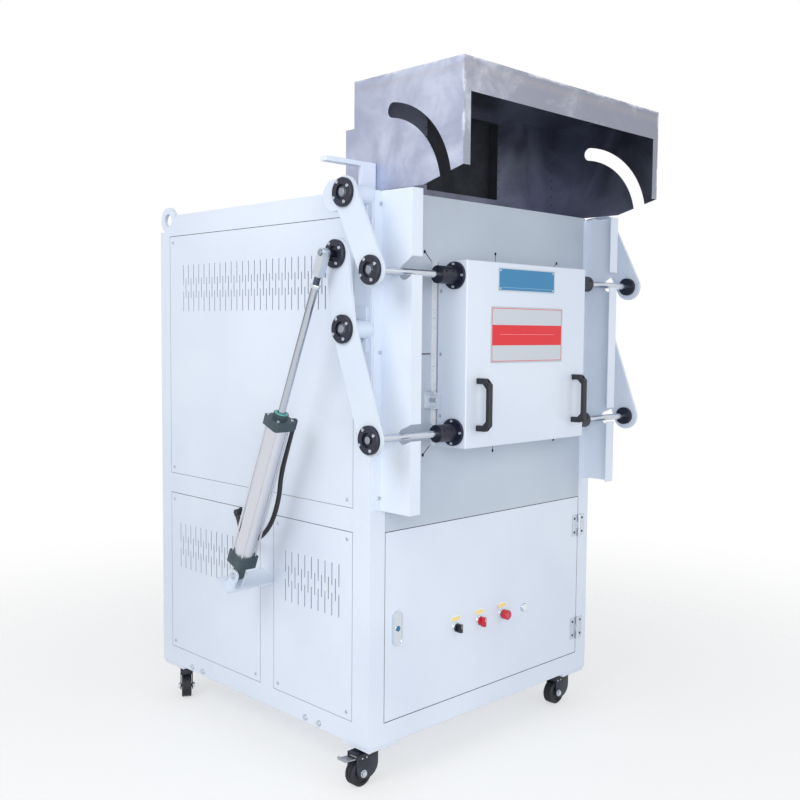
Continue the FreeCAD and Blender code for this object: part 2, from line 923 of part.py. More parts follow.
def control_gear():
    """Back plate with contactors, a finned power regulator and the door air valve."""
    x0 = width - 2 * side_rail_w - gear_plate_w
    x1 = x0 + gear_plate_w
    z0 = rail + sheet
    y = gear_plate_y
    foot = box(x0, x1, y - gear_foot, y, z0, z0 + gear_plate_t)
    panel = box(x0, x1, y, y + gear_plate_t, z0, z0 + gear_plate_h).fuse(foot).removeSplitter()
    pieces = [panel]
    low = z0 + contactor_rise
    for i in range(3):
        left = x0 + contactor_x + i * contactor_pitch
        pieces.append(box(left, left + contactor_w, y - contactor_d, y, low, low + contactor_h))
    left, low = x0 + fins_x, z0 + fins_rise
    fins = box(left, left + fins_w, y - fins_d, y, low, low + fins_h)
    for i in range(8):
        at = left + fin_edge + i * fin_pitch
        fins = fins.cut(box(at, at + fin_gap, y - fins_d, y - fins_base, low, low + fins_h))
    pieces.append(fins)
    left, low = x0 + valve_x, z0 + valve_rise
    valve = box(left, left + valve_w, y - valve_d, y, low, low + valve_h)
    coil = rod_x(left + valve_w, left + valve_w + coil_l, y - valve_d / 2, low + valve_h / 2, coil_r)
    return group(pieces + [valve, coil] + transformer())


def transformer():
    """Laminated core and its winding, standing on the floor tray."""
    x0, y0, z0 = core_x, core_y, rail + sheet
    y1 = y0 + core_t
    z1, z2 = z0 + core_limb, z0 + core_h - core_limb
    window_w = (core_w - 3 * core_limb) / 2
    core = box(x0, x0 + core_w, y0, y1, z0, z0 + core_h)
    for left in (x0 + core_limb, x0 + 2 * core_limb + window_w):
        core = core.cut(box(left, left + window_w, y0, y1, z1, z2))
    limb_x = x0 + core_w / 2
    half = core_limb / 2
    reach = half + window_w - winding_gap
    winding = box(limb_x - reach, limb_x + reach, y0 - winding_out, y1 + winding_out,
                  z1 + winding_play, z2 - winding_play)
    return [core, winding.cut(box(limb_x - half, limb_x + half, y0, y1, z0, z0 + core_h))]


# Furnace door

def furnace_door_shell():
    x0, x1 = mouth_x - door_w / 2, mouth_x + door_w / 2
    z0, z1 = mouth_z - door_h / 2, mouth_z + door_h / 2
    shell = box(x0, x1, door_front_y, door_back_y, z0, z1)
    edges = [e for e in shell.Edges if e.BoundBox.YMax < door_back_y - 1 or e.BoundBox.YLength > 1]
    shell = shell.makeFillet(door_round, edges)
    t = door_sheet
    return shell.cut(box(x0 + t, x1 - t, door_front_y + t, door_back_y, z0 + t, z1 - t))


def door_plug():
    """Insulation that fills the door, with a tapered nose for the mouth and a rope seal."""
    t = door_sheet
    x0, x1 = mouth_x - door_w / 2 + t, mouth_x + door_w / 2 - t
    z0, z1 = mouth_z - door_h / 2 + t, mouth_z + door_h / 2 - t
    fill = box(x0, x1, door_front_y + t, door_back_y, z0, z1)
    base = mouth_outline(-plug_play)
    tip = mouth_outline(-plug_play - plug_draft)
    for outline, y in ((base, door_back_y), (tip, -plug_gap)):
        outline.rotate(Vector(0, 0, 0), Vector(1, 0, 0), 90)
        outline.translate(Vector(0, y, 0))
    nose = Part.makeLoft([base, tip], True, True)
    rope = -mouth_frame_t - side_gap - door_back_y
    seal = plate("y", door_back_y, rope, mouth_outline(seal_in + seal_w), [mouth_outline(seal_in)])
    return group([fill.fuse(nose).removeSplitter(), seal])


def door_handle(x):
    """Bridge handle with chamfered ends and two feet on the door front."""
    cut = handle_section
    face = door_front_y
    out = face - handle_stand
    half_outline = [
        (face, handle_l / 2), (out + cut, handle_l / 2), (out, handle_l / 2 - cut),
    ]
    half_inside = [
        (out + handle_grip_t, handle_l / 2 - handle_corner_l), (out + handle_foot_l, handle_l / 2 - cut),
        (face, handle_l / 2 - cut),
    ]
    upper = half_outline + [(y, -v) for y, v in reversed(half_outline)]
    inside = [(y, -v) for y, v in reversed(half_inside)] + half_inside
    outline = polygon([(y, handle_z + v) for y, v in upper + inside])
    return plate("x", x - handle_section / 2, handle_section, outline)


def door_plaque(mid_x, mid_z, w, h):
    y0 = door_front_y - plaque_t
    return box(mid_x - w / 2, mid_x + w / 2, y0, door_front_y, mid_z - h / 2, mid_z + h / 2)


def rod_tip_x():
    """Outer end of a shaft that runs in an arm's flange."""
    return -(arm_offset + arm_t + flange_t - shaft_end)


def clipped_shaft(y, z, x1):
    """Shaft through a flange, with the ring in the flange's recess that keeps it there."""
    x0 = -(arm_offset + arm_t + flange_t - flange_recess + side_gap)
    shaft = rod_x(rod_tip_x(), x1, y, z, shaft_r)
    return shaft.fuse(rod_x(x0 - clip_t, x0, y, z, clip_r)).removeSplitter()


def door_rods():
    """Round rods from the arms to the door; the lower ones stop short of their arms."""
    door_x = mouth_x - door_w / 2
    upper = clipped_shaft(*upper_rod, door_x)
    y, z = lower_rod
    lower = rod_x(-(arm_offset - hub_l - side_gap), door_x, y, z, shaft_r)
    return group(both_sides([upper, lower]))


def door_flanges():
    """Clamp flanges that hold the rods on the door's side faces."""
    door_x = mouth_x - door_w / 2
    flanges = []
    for y, z in (upper_rod, lower_rod):
        hub_x = door_x - door_flange_t
        end_x = hub_x - door_hub_l
        flange = rod_x(hub_x, door_x, y, z, flange_r).fuse(rod_x(end_x, hub_x, y, z, door_hub_r))
        flange = flange.removeSplitter().cut(rod_x(end_x, door_x, y, z, shaft_r))
        half = clamp_slit / 2
        flanges.append(flange.cut(box(end_x, end_x + clamp_slit_l, y - half, y + half, z, z + door_hub_r)))
    return group(both_sides(flanges))


# Linkage arms on the left, mirrored for the right

def arm_flange(y, z, stub_from=None):
    """Flanged bearing housing through an arm, with its lock hub on the inner side."""
    face = -(arm_offset + arm_t)
    rim = rod_x(face - flange_t, face, y, z, flange_r)
    rim = chamfered(rim, flange_chamfer, lambda e: e.BoundBox.XMax < face - flange_t + 0.01 and e.Closed)
    inner_end = -(arm_offset - hub_l)
    sleeve = rod_x(face, inner_end, y, z, sleeve_r)
    housing = rim.fuse(sleeve).removeSplitter()
    housing = housing.cut(rod_x(face - flange_t, face - flange_t + flange_recess, y, z, flange_recess_r))
    bore = shaft_r if stub_from is not None else shaft_r + run_play
    housing = housing.cut(rod_x(face - flange_t, inner_end, y, z, bore))
    hub = rod_x(-arm_offset, inner_end, y, z, hub_r).cut(rod_x(-arm_offset, inner_end, y, z, sleeve_r))
    pieces = [housing, hub]
    if stub_from is not None:
        pieces.append(rod_x(stub_from, inner_end, y, z, shaft_r))
    return pieces


def arm_plate(points):
    """Plate with round ends through two or three pivots, holed for the flange sleeves."""
    inner = -arm_offset
    outer = inner - arm_t
    body = None
    for a, b in zip(points, points[1:]):
        limb = plate("x", outer, arm_t, slot(a, b, arm_r))
        body = limb if body is None else body.fuse(limb).removeSplitter()
    for y, z in points:
        body = body.cut(rod_x(outer, inner, y, z, sleeve_r))
    return body


def upper_arm_plate():
    """The upper arm with the wide cam-shaped end round its pivot."""
    outer = -(arm_offset + arm_t)
    y, z = upper_pivot
    cam = plate("x", outer, arm_t, slot((y, z), (y + arm_cam_back, z - arm_cam_drop), arm_cam_r))
    cam = cam.cut(rod_x(outer, -arm_offset, y, z, sleeve_r))
    return arm_plate([upper_pivot, upper_rod]).fuse(cam).removeSplitter()


def upper_arm_flanges():
    return group(arm_flange(*upper_pivot) + arm_flange(*upper_rod))


def lower_arm_plate(driven):
    points = [lower_pivot, lower_rod]
    if driven:
        points.insert(0, crank_pin)
    return arm_plate(points)


def rod_eye_x():
    """Outer and inner faces of the rod's eye."""
    return -(cylinder_x + rod_eye_t / 2), -(cylinder_x - rod_eye_t / 2)


def lower_arm_flanges(driven):
    pieces = arm_flange(*lower_pivot) + arm_flange(*lower_rod, stub_from=rod_tip_x())
    if driven:
        pieces += arm_flange(*crank_pin, stub_from=rod_eye_x()[1] + side_gap)
    return group(pieces)


def pivot_block(pivot):
    """Plate and boss on the post, with the fixed shaft that an arm turns on."""
    y, z = pivot
    half = boss_plate_h / 2
    inner_end = -(arm_offset - hub_l - side_gap)
    foot = box(-boss_plate_t, 0, boss_plate_front, front_post_d, z - half, min(z + half, height))
    boss = rod_x(inner_end, 0, y, z, boss_r)
    block = foot.fuse(boss).removeSplitter()
    block = block.cut(rod_x(inner_end, 0, y, z, shaft_r))
    return [block, clipped_shaft(y, z, 0)]


def arm_stop():
    """Bar, standing plate and foot that the open upper arm comes to rest against."""
    turn = math.radians(180.0 - upper_open_angle)
    rise = stop_z - stop_bar_t - upper_pivot_z
    bar_y = pivot_y + arm_r / math.cos(turn) - rise * math.tan(turn) + stop_play
    x1 = front_post_w - seam
    bar = box(-stop_reach, x1, bar_y, bar_y + stop_bar_w, stop_z - stop_bar_t, stop_z)
    standing = box(0, x1, bar_y, bar_y + stop_plate_t, height, stop_z - stop_bar_t)
    foot = box(0, x1, bar_y + stop_plate_t, front_post_d, height, height + stop_foot_t)
    return [bar, standing, foot]


# Column guards

def rod_slot(pivot, radius, rest_angle, to_angle):
    outline = arc_slot(pivot, radius, rod_slot_w / 2, rest_angle, to_angle)
    return plate("x", -arm_offset, 3 * arm_offset, outline)


def column_guard():
    """Folded sheet in front of the post with a notch for each door rod and its rest."""
    x = guard_x
    t = guard_sheet
    lip = box(x - guard_lip, x - t, -t, 0, guard_foot_z, guard_top_z)
    web = box(x - t, x, -guard_front, 0, guard_foot_z, guard_top_z)
    front = box(x, x + guard_flange, -guard_front, -guard_front + t, guard_foot_z, guard_top_z)
    slots = [rod_slot(upper_pivot, upper_arm, upper_rest_angle, upper_rest_angle + upper_notch_angle),
             rod_slot(lower_pivot, lower_arm, lower_rest_angle, lower_rest_angle + lower_notch_angle)]
    folded = web.fuse([lip, front]).removeSplitter()
    for cut in slots:
        folded = folded.cut(cut)
    for z in guard_screw_zs:
        folded = folded.cut(rod_y(guard_screw_x, -t, 0, z, screw_r))
    return folded


# Hood

def hood_side():
    """Stainless side sheet with the upper door rod's curved slot, and its front lip."""
    x0 = front_post_w
    outline = polygon([
        (-hood_front, hood_top), (-hood_front, hood_slant_z), (hood_slant_y, cover_top),
        (hood_back, cover_top), (hood_back, hood_top),
    ])
    side = plate("x", x0, hood_sheet, outline)
    cut = arc_slot(upper_pivot, upper_arm, rod_slot_w / 2, hood_slot_from, upper_open_angle + hood_slot_past)
    side = side.cut(plate("x", x0, hood_sheet, cut))
    lip_x = x0 + hood_sheet
    y0, y1 = -hood_front, -hood_front + hood_sheet
    return [side, box(lip_x, lip_x + hood_lip, y0, y1, hood_slant_z, hood_top - hood_fascia_h)]


def hood_post():
    """Angle that stands on the lid behind the hood and holds its back, in two strips."""
    x0 = front_post_w
    t = guard_sheet
    side = box(x0, x0 + t, hood_back, hood_back + hood_angle, cover_top, hood_angle_top)
    face = box(x0 + t, x0 + hood_angle, hood_back, hood_back + t, cover_top, hood_angle_top)
    return [side, face]


def hood():
    """Welded hood: two sides, fascia, roof and a back with the flue opening."""
    x0, x1 = front_post_w + hood_sheet, width - front_post_w - hood_sheet
    t = hood_sheet
    fascia = box(x0, x1, -hood_front, -hood_front + t, hood_top - hood_fascia_h, hood_top)
    roof = box(x0, x1, -hood_front + t, hood_back, hood_top - t, hood_top)
    half_w, half_h = flue_w / 2, flue_h / 2
    flue = rect(mouth_x - half_w, flue_z - half_h, mouth_x + half_w, flue_z + half_h)
    back = plate("y", hood_back - t, t, rect(x0, cover_top, x1, hood_top - t), [flue])
    return group(both_sides(hood_side() + hood_post()) + [fascia, roof, back])


def exhaust_duct():
    """Short rectangular collar with a drilled flange for the flue, and the blind cover on it."""
    half_w, half_h = flue_w / 2, flue_h / 2
    t = hood_sheet
    y0, y1 = hood_back, hood_back + flue_l
    opening = rect(mouth_x - half_w, flue_z - half_h, mouth_x + half_w, flue_z + half_h)
    skin = rect(mouth_x - half_w - t, flue_z - half_h - t, mouth_x + half_w + t, flue_z + half_h + t)
    collar = plate("y", y0, y1 - y0, skin, [opening])
    w, h = half_w + t + flue_flange, half_h + t + flue_flange
    rim = rect(mouth_x - w, flue_z - h, mouth_x + w, flue_z + h)
    u, v = half_w + t + flue_bolt_in, half_h + t + flue_bolt_in
    holes = [disc(mouth_x + su * u, flue_z + sv * v, flue_bolt_r) for su in (-1, 1) for sv in (-1, 1)]
    flange = plate("y", y1 - guard_sheet, guard_sheet, rim, [opening.copy()] + holes)
    cover = plate("y", y1, guard_sheet, rim.copy(), [hole.copy() for hole in holes])
    return group([collar.fuse(flange).removeSplitter(), cover])


# Pneumatic cylinder, drawn upright from its base pin and then leaned over

def leaned(shape):
    shape = shape.copy()
    shape.rotate(Vector(0, 0, 0), Vector(1, 0, 0), cylinder_lean)
    shape.translate(Vector(-cylinder_x, base_pin[0], base_pin[1]))
    return shape


def tie_places():
    half = tie_spacing / 2
    return [(x, y) for x in (-half, half) for y in (-half, half)]


def cylinder_barrel():
    z0, z1 = rear_cap_start + rear_cap_l, front_cap_start
    barrel = rod_z(0, 0, z0, z1, barrel_r).cut(rod_z(0, 0, z0, z1, bore_r))
    ties = [rod_z(x, y, z0, z1, tie_r) for x, y in tie_places()]
    return leaned(group([barrel] + ties))


def end_cap(z0, z1):
    half = cap_side / 2
    block = box(-half, half, -half, half, z0, z1)
    return chamfered(block, cap_chamfer, lambda e: e.BoundBox.ZLength > (z1 - z0) * 0.9)


def cylinder_caps():
    """Rear cap with its eye, front cap with the rod nose, and the port elbow."""
    z1 = rear_cap_start + rear_cap_l
    rear = end_cap(rear_cap_start, z1)
    half = base_eye_t / 2
    eye = box(-half, half, -base_eye_r, base_eye_r, 0, rear_cap_start)
    eye = eye.fuse(rod_x(-half, half, 0, 0, base_eye_r))
    rear = rear.fuse(eye).removeSplitter().cut(rod_x(-half, half, 0, 0, base_pin_r + run_play))
    nose_z = front_cap_start + front_cap_l
    front = end_cap(front_cap_start, nose_z).fuse(rod_z(0, 0, nose_z, nose_z + nose_l, nose_r))
    front = front.removeSplitter().cut(rod_z(0, 0, front_cap_start, nose_z + nose_l, rod_r + run_play))
    port_z = front_cap_start + front_cap_l / 2
    face = cap_side / 2
    out = rod_x(face, face + elbow_out, 0, port_z, elbow_r)
    drop = rod_z(face + elbow_out, 0, port_z - elbow_down, port_z, elbow_r)
    elbow = out.fuse([drop, Part.makeSphere(elbow_r, Vector(face + elbow_out, 0, port_z))]).removeSplitter()
    return leaned(group([rear, front, elbow]))


def piston_rod():
    piston = rod_z(0, 0, piston_start, piston_start + piston_t, bore_r - piston_play)
    rod = rod_z(0, 0, piston_start + piston_t, rod_length - rod_end_reach, rod_r)
    thread = rod_z(0, 0, rod_length - rod_end_reach, rod_length - rod_eye_r, thread_r)
    return leaned(piston.fuse([rod, thread]).removeSplitter())


def rod_end():
    """Lock nut and forged eye on the rod's thread, with the pin that fills the eye."""
    nut_z = rod_length - rod_end_reach
    nut = hexagon(nut_z, nut_z + nut_t, nut_across)
    nut = nut.cut(rod_z(0, 0, nut_z, nut_z + nut_t, thread_r))
    half = rod_eye_t / 2
    neck_z = nut_z + nut_t
    eye = rod_x(-half, half, 0, rod_length, rod_eye_r)
    shank = rod_z(0, 0, neck_z, rod_length - rod_eye_r / 2, rod_eye_neck)
    eye = eye.fuse(shank).removeSplitter()
    eye = eye.cut(rod_z(0, 0, neck_z, rod_length - rod_eye_r, thread_r))
    eye = eye.cut(rod_x(-half, half, 0, rod_length, shaft_r))
    pin = rod_x(-half - pin_end, half, 0, rod_length, shaft_r)
    return leaned(group([nut, eye, pin]))


def hexagon(z0, z1, across):
    radius = across / math.sqrt(3.0)
    corners = [math.radians(60 * i) for i in range(6)]
    return plate("z", z0, z1 - z0, polygon([(radius * math.cos(a), radius * math.sin(a)) for a in corners]))


def cylinder_bracket():
    """Tilted plate welded to the side post, with two lugs and the base pin."""
    half_l = bracket_l / 2
    top = -bracket_drop
    slab = box(cylinder_x - bracket_reach, cylinder_x, -half_l + bracket_shift, half_l + bracket_shift,
               top - bracket_t, top)
    inner = base_eye_t / 2 + side_gap
    lugs = []
    for x0 in (-inner - lug_t, inner):
        lug = rod_x(x0, x0 + lug_t, 0, 0, lug_r).fuse(box(x0, x0 + lug_t, -lug_r, lug_r, top, 0))
        lugs.append(lug.removeSplitter())
    reach = inner + lug_t + pin_end
    pin = rod_x(-reach, reach, 0, 0, base_pin_r)
    lugs = [lug.cut(pin) for lug in lugs]
    pieces = []
    for piece in [slab] + lugs + [pin]:
        piece.rotate(Vector(0, 0, 0), Vector(1, 0, 0), bracket_tilt)
        piece.translate(Vector(-cylinder_x, base_pin[0], base_pin[1]))
        pieces.append(piece)
    pieces[0] = pieces[0].cut(box(0, width, 0, depth, 0, height))
    return group(pieces)


# Air hose from the bulkhead on the side rail to the front cap's port

def bulkhead_outlet(gap):
    """Place a gap beyond the elbow's open end, which points down and forward."""
    turn = math.radians(bulkhead_turn)
    reach = bulkhead_drop + gap
    return -bulkhead_out, bulkhead_y - reach * math.sin(turn), bulkhead_z - reach * math.cos(turn)


hose_points = [
    bulkhead_outlet(hose_gap), (-18.0, 576.7, 554.7), (-23.9, 558.5, 527.8), (-33.3, 528.2, 510.2),
    (-42.9, 485.4, 509.0), (-52.0, 446.0, 516.6), (-60.3, 400.2, 536.0), (-65.7, 360.0, 567.1),
    (-68.4, 329.1, 608.0), (-70.3, 304.2, 668.8), (-70.5, 297.0, 728.0),
]


def port_end():
    """Open end of the port elbow and the direction in which the hose leaves it."""
    turn = math.radians(cylinder_lean)
    along = front_cap_start + front_cap_l / 2 - elbow_down
    end = Vector(-cylinder_x + cap_side / 2 + elbow_out,
                 base_pin[0] - along * math.sin(turn), base_pin[1] + along * math.cos(turn))
    return end, Vector(0, math.sin(turn), -math.cos(turn))


def tube_path(points, label):
    """Straight runs joined by tangent arcs, as wide as each pair of runs allows."""
    edges = []
    start = points[0]
    radii = []
    for before, corner, after in zip(points, points[1:], points[2:]):
        back = (before - corner)
        ahead = (after - corner)
        shorter = min(back.Length, ahead.Length)
        back.normalize()
        ahead.normalize()
        half_turn = (math.pi - back.getAngle(ahead)) / 2
        trim = bend_share * shorter
        radius = trim / math.tan(half_turn)
        radii.append(radius)
        enter = corner + back * trim
        leave = corner + ahead * trim
        inward = (back + ahead).normalize()
        middle = corner + inward * (radius / math.cos(half_turn) - radius)
        edges.append(Part.LineSegment(start, enter).toShape())
        edges.append(Part.Arc(enter, middle, leave).toShape())
        start = leave
    edges.append(Part.LineSegment(start, points[-1]).toShape())
    path = Part.Wire(edges)
    print(label, "length", round(path.Length, 1), "radii", [round(r, 1) for r in radii])
    return path


def air_hose():
    end, leave = port_end()
    points = [Vector(*p) for p in hose_points] + [end + leave * hose_straight, end]
    path = tube_path(points, "air_hose")
    along = points[1] - points[0]
    ring = Part.Wire([Part.makeCircle(hose_r, points[0], along)])
    hose = path.makePipeShell([ring], True, False)
    print("air_hose volume ratio", round(hose.Volume / (math.pi * hose_r ** 2 * path.Length), 4))
    return hose


def bulkhead_fitting():
    """Nut on the side cover and the swivelled elbow that the hose leaves."""
    nut = hexagon(0, bulkhead_nut_t, bulkhead_nut)
    nut.rotate(Vector(0, 0, 0), Vector(0, 1, 0), -90)
    nut.translate(Vector(0, bulkhead_y, bulkhead_z))
    out = rod_x(-bulkhead_out, -bulkhead_nut_t, bulkhead_y, bulkhead_z, elbow_r)
    centre = Vector(-bulkhead_out, bulkhead_y, bulkhead_z)
    drop = rod_z(0, 0, -bulkhead_drop, 0, elbow_r)
    drop.rotate(Vector(0, 0, 0), Vector(1, 0, 0), -bulkhead_turn)
    drop.translate(centre)
    return nut.fuse([out, Part.makeSphere(elbow_r, centre), drop]).removeSplitter()


# Lower cabinet door

def lower_door():
    """Tray-shaped door with holes for its controls and lock."""
    x0, x1 = front_post_w + lower_door_play, width - front_post_w - lower_door_play
    z0, z1 = lower_door_z, lower_door_top
    holes = [disc(x, control_z, operator_r) for x in control_xs]
    holes.append(disc(lock_x, lock_z, lock_r + screw_play))
    skin = plate("y", 0, sheet, rect(x0, z0, x1, z1), holes)
    rim = plate("y", sheet, lower_door_edge - sheet, rect(x0, z0, x1, z1),
                [rect(x0 + sheet, z0 + sheet, x1 - sheet, z1 - sheet)])
    return skin.fuse(rim).removeSplitter()


def hinge_x():
    return width - front_post_w


def hinge_leaf_plate(side, z0, own):
    """Leaf on the front face, with its own thirds of the knuckle and room for the other's."""
    x = hinge_x()
    third = hinge_h / 3
    across = sorted((x + side * hinge_split, x + side * hinge_leaf))
    leaf = box(across[0], across[1], -hinge_t, 0, z0, z0 + hinge_h)
    for part in range(3):
        low, high = z0 + part * third, z0 + (part + 1) * third
        if part in own:
            low += side_gap / 2
            high -= side_gap / 2
            across = sorted((x, x + side * hinge_knuckle_r))
            web = box(across[0], across[1], hinge_axis_y, 0, low, high)
            leaf = leaf.fuse([rod_z(x, hinge_axis_y, low, high, hinge_knuckle_r), web])
        else:
            leaf = leaf.cut(rod_z(x, hinge_axis_y, low, high, hinge_knuckle_r + 2 * side_gap))
    bore = hinge_pin_r if side > 0 else hinge_pin_r + run_play
    return leaf.removeSplitter().cut(rod_z(x, hinge_axis_y, z0, z0 + hinge_h, bore))


def hinge_door_leaves():
    return group([hinge_leaf_plate(-1, z, (1,)) for z in hinge_zs])


def hinge_post_leaves():
    pieces = []
    for z in hinge_zs:
        pieces.append(hinge_leaf_plate(1, z, (0, 2)))
        pieces.append(rod_z(hinge_x(), hinge_axis_y, z, z + hinge_h, hinge_pin_r))
    return group(pieces)


def ring_y(x, y0, y1, z, outer, inner):
    return rod_y(x, y0, y1, z, outer).cut(rod_y(x, y0, y1, z, inner))


def operator_body(x):
    """Bezel, panel barrel and contact block of one control, bored for its spindle."""
    body = rod_y(x, -bezel_t, 0, control_z, bezel_r)
    body = body.fuse(rod_y(x, 0, block_y, control_z, operator_r))
    half = block_side / 2
    body = body.fuse(box(x - half, x + half, block_y, block_y + block_l, control_z - half, control_z + half))
    return body.removeSplitter().cut(rod_y(x, -bezel_t, block_y, control_z, spindle_r + run_play))


def door_fittings():
    """Fixed hardware on the lower door: lock plate, control bodies, pilot lamp and labels."""
    half_w, half_h = lock_w / 2, lock_h / 2
    outline = slot((lock_x, lock_z - half_h + half_w), (lock_x, lock_z + half_h - half_w), half_w)
    pieces = [plate("y", -lock_t, lock_t, outline, [disc(lock_x, lock_z, lock_r + run_play)])]
    label_z = control_z + label_rise - label_h / 2
    for x in control_xs[:3]:
        pieces.append(operator_body(x))
        pieces.append(box(x - label_w / 2, x + label_w / 2, -label_t, 0, label_z, label_z + label_h))
    x = control_xs[3]
    lens = rod_y(x, -lamp_rise, 0, control_z, lamp_r)
    pieces.append(lens.fuse(rod_y(x, 0, block_y, control_z, operator_r)).removeSplitter())
    return group(pieces)


def lock_barrel():
    """Key cylinder with the cam that turns behind the door's edge."""
    y = lower_door_edge + cam_gap
    barrel = rod_y(lock_x, -lock_t - lock_proud, y + cam_t, lock_z, lock_r)
    cam = box(lock_x - cam_l, lock_x, y, y + cam_t, lock_z - lock_r, lock_z + lock_r)
    return barrel.fuse(cam).removeSplitter()


def selector(x, tail):
    """Rotary selector: round skirt, bar grip longer below by a factor, and spindle."""
    y = -bezel_t - side_gap
    skirt = rod_y(x, y - skirt_t, y, control_z, knob_r)
    half = grip_w / 2
    grip = box(x - half, x + half, y - knob_h, y - skirt_t, control_z - knob_r * tail, control_z + knob_r)
    spindle = rod_y(x, y, block_y - side_gap, control_z, spindle_r)
    return skirt.fuse([grip, spindle]).removeSplitter()


def stop_button():
    """Push head on a stem that slides in the control's body."""
    x = control_xs[2]
    y = -bezel_t - button_travel - side_gap
    head = rod_y(x, y - button_h, y, control_z, button_r)
    head = chamfered(head, button_chamfer, lambda e: e.BoundBox.YMax < y - button_h / 2 and e.Closed)
    stem = rod_y(x, y, block_y - button_travel - side_gap, control_z, spindle_r)
    return head.fuse(stem).removeSplitter()


# Casters

def caster_mounts():
    """Top plates with their race and kingpin, bolted under the corner pads."""
    mounts = []
    half = top_plate / 2
    for x, y, _ in caster_places().values():
        z = -pad_t
        flat = box(x - half, x + half, y - half, y + half, z - top_plate_t, z)
        race = rod_z(x, y, z - top_plate_t - race_h, z - top_plate_t, race_r)
        low = z - top_plate_t - race_h - side_gap - crown_t
        king = rod_z(x, y, low - side_gap, z - top_plate_t - race_h, king_r)
        head = rod_z(x, y, low - side_gap - king_head_t, low - side_gap, king_head_r)
        mounts.append(flat.fuse([race, king, head]).removeSplitter())
    return group(mounts)


def turned(shape, place):
    """Move a caster piece, drawn trailing toward +X from its swivel axis, to its corner."""
    x, y, angle = place
    shape = shape.copy()
    shape.rotate(Vector(0, 0, 0), Vector(0, 0, 1), angle)
    shape.translate(Vector(x, y, 0))
    return shape


def crown_bottom():
    return -pad_t - top_plate_t - race_h - side_gap - crown_t


def pedal_pin():
    """Place (x, z) of the brake pedal's pin in the caster's own frame."""
    return trail + pedal_pin_x, crown_bottom() - pedal_pin_drop


def caster_fork(braked):
    """Crown and two cheeks that carry the axle and its nuts, and a pedal pin if braked."""
    crown_z = crown_bottom()
    crown_top = crown_z + crown_t
    cheek_y = wheel_w / 2 + wheel_play
    shelf_x = trail - crown_rim
    crown = rod_z(0, 0, crown_z, crown_top, race_r + crown_rim)
    shelf = box(0, shelf_x, -cheek_y - fork_t, cheek_y + fork_t, crown_z, crown_top)
    crown = crown.fuse(shelf).cut(rod_z(0, 0, crown_z, crown_top, king_r + run_play))
    pin_x, pin_z = pedal_pin()
    ear_x = pin_x + ear_margin
    ear = [(ear_x, crown_top), (ear_x, pin_z - ear_margin)] if braked else [(shelf_x, crown_top)]
    foot_z = axle_z - cheek_foot_drop
    outline = polygon([(-race_r, crown_top)] + ear + [
        (trail + cheek_back, axle_z + cheek_back_rise), (trail + cheek_foot, foot_z),
        (trail - cheek_foot, foot_z), (-race_r + cheek_front_in, crown_z - cheek_front_drop),
    ])
    pins = [(trail, axle_z, axle_r)]
    if braked:
        pins.append((pin_x, pin_z, pedal_pin_r))
    cheeks = []
    for y in (-cheek_y - fork_t, cheek_y):
        cheek = plate("y", y, fork_t, outline)
        for x, z, radius in pins:
            cheek = cheek.cut(rod_y(x, y, y + fork_t, z, radius))
        cheeks.append(cheek)
    fork = crown.fuse(cheeks).removeSplitter()
    end = cheek_y + fork_t
    pieces = [fork]
    for x, z, radius in pins:
        reach = end + (nut_l if radius == axle_r else 0.0)
        pieces.append(rod_y(x, -reach, reach, z, radius))
    for y in (-end - nut_l, end):
        nut = hexagon(0, nut_l, axle_nut)
        nut.rotate(Vector(0, 0, 0), Vector(1, 0, 0), -90)
        nut.translate(Vector(trail, y, axle_z))
        pieces.append(nut.cut(rod_y(trail, y, y + nut_l, axle_z, axle_r)))
    return group(pieces)


def caster_wheel():
    """Rubber wheel with two tread grooves and a hub that runs on the axle."""
    half = wheel_w / 2
    wheel = rod_y(trail, -half, half, axle_z, wheel_r)
    wheel = chamfered(wheel, tread_round, lambda e: e.Closed)
    for y in (-wheel_w / 6, wheel_w / 6):
        y0, y1 = y - tread_groove_w / 2, y + tread_groove_w / 2
        wheel = wheel.cut(ring_y(trail, y0, y1, axle_z, wheel_r, wheel_r - tread_groove))
    for y0, y1 in ((-half, -half + wheel_dish), (half - wheel_dish, half)):
        wheel = wheel.cut(ring_y(trail, y0, y1, axle_z, wheel_r - tyre_t, axle_r + wheel_hub_t))
    return wheel.cut(rod_y(trail, -half, half, axle_z, axle_r + run_play))


def brake_pedal():
    """Foot pedal on its pin between the fork's cheeks, reaching out past the wheel."""
    x, z = pedal_pin()
    half = pedal_w / 2
    hub = rod_y(x, -half, half, z, pedal_hub_r)
    tread = box(x, x + pedal_l, -half, half, z - pedal_t / 2, z + pedal_t / 2)
    lip = box(x + pedal_l - pedal_lip, x + pedal_l, -half, half, z, z + pedal_t / 2 + pedal_lip)
    pedal = hub.fuse([tread, lip]).removeSplitter().cut(rod_y(x, -half, half, z, pedal_pin_r + run_play))
    pedal.rotate(Vector(x, 0, z), Vector(0, 1, 0), -pedal_lift)
    return pedal


# Assembly

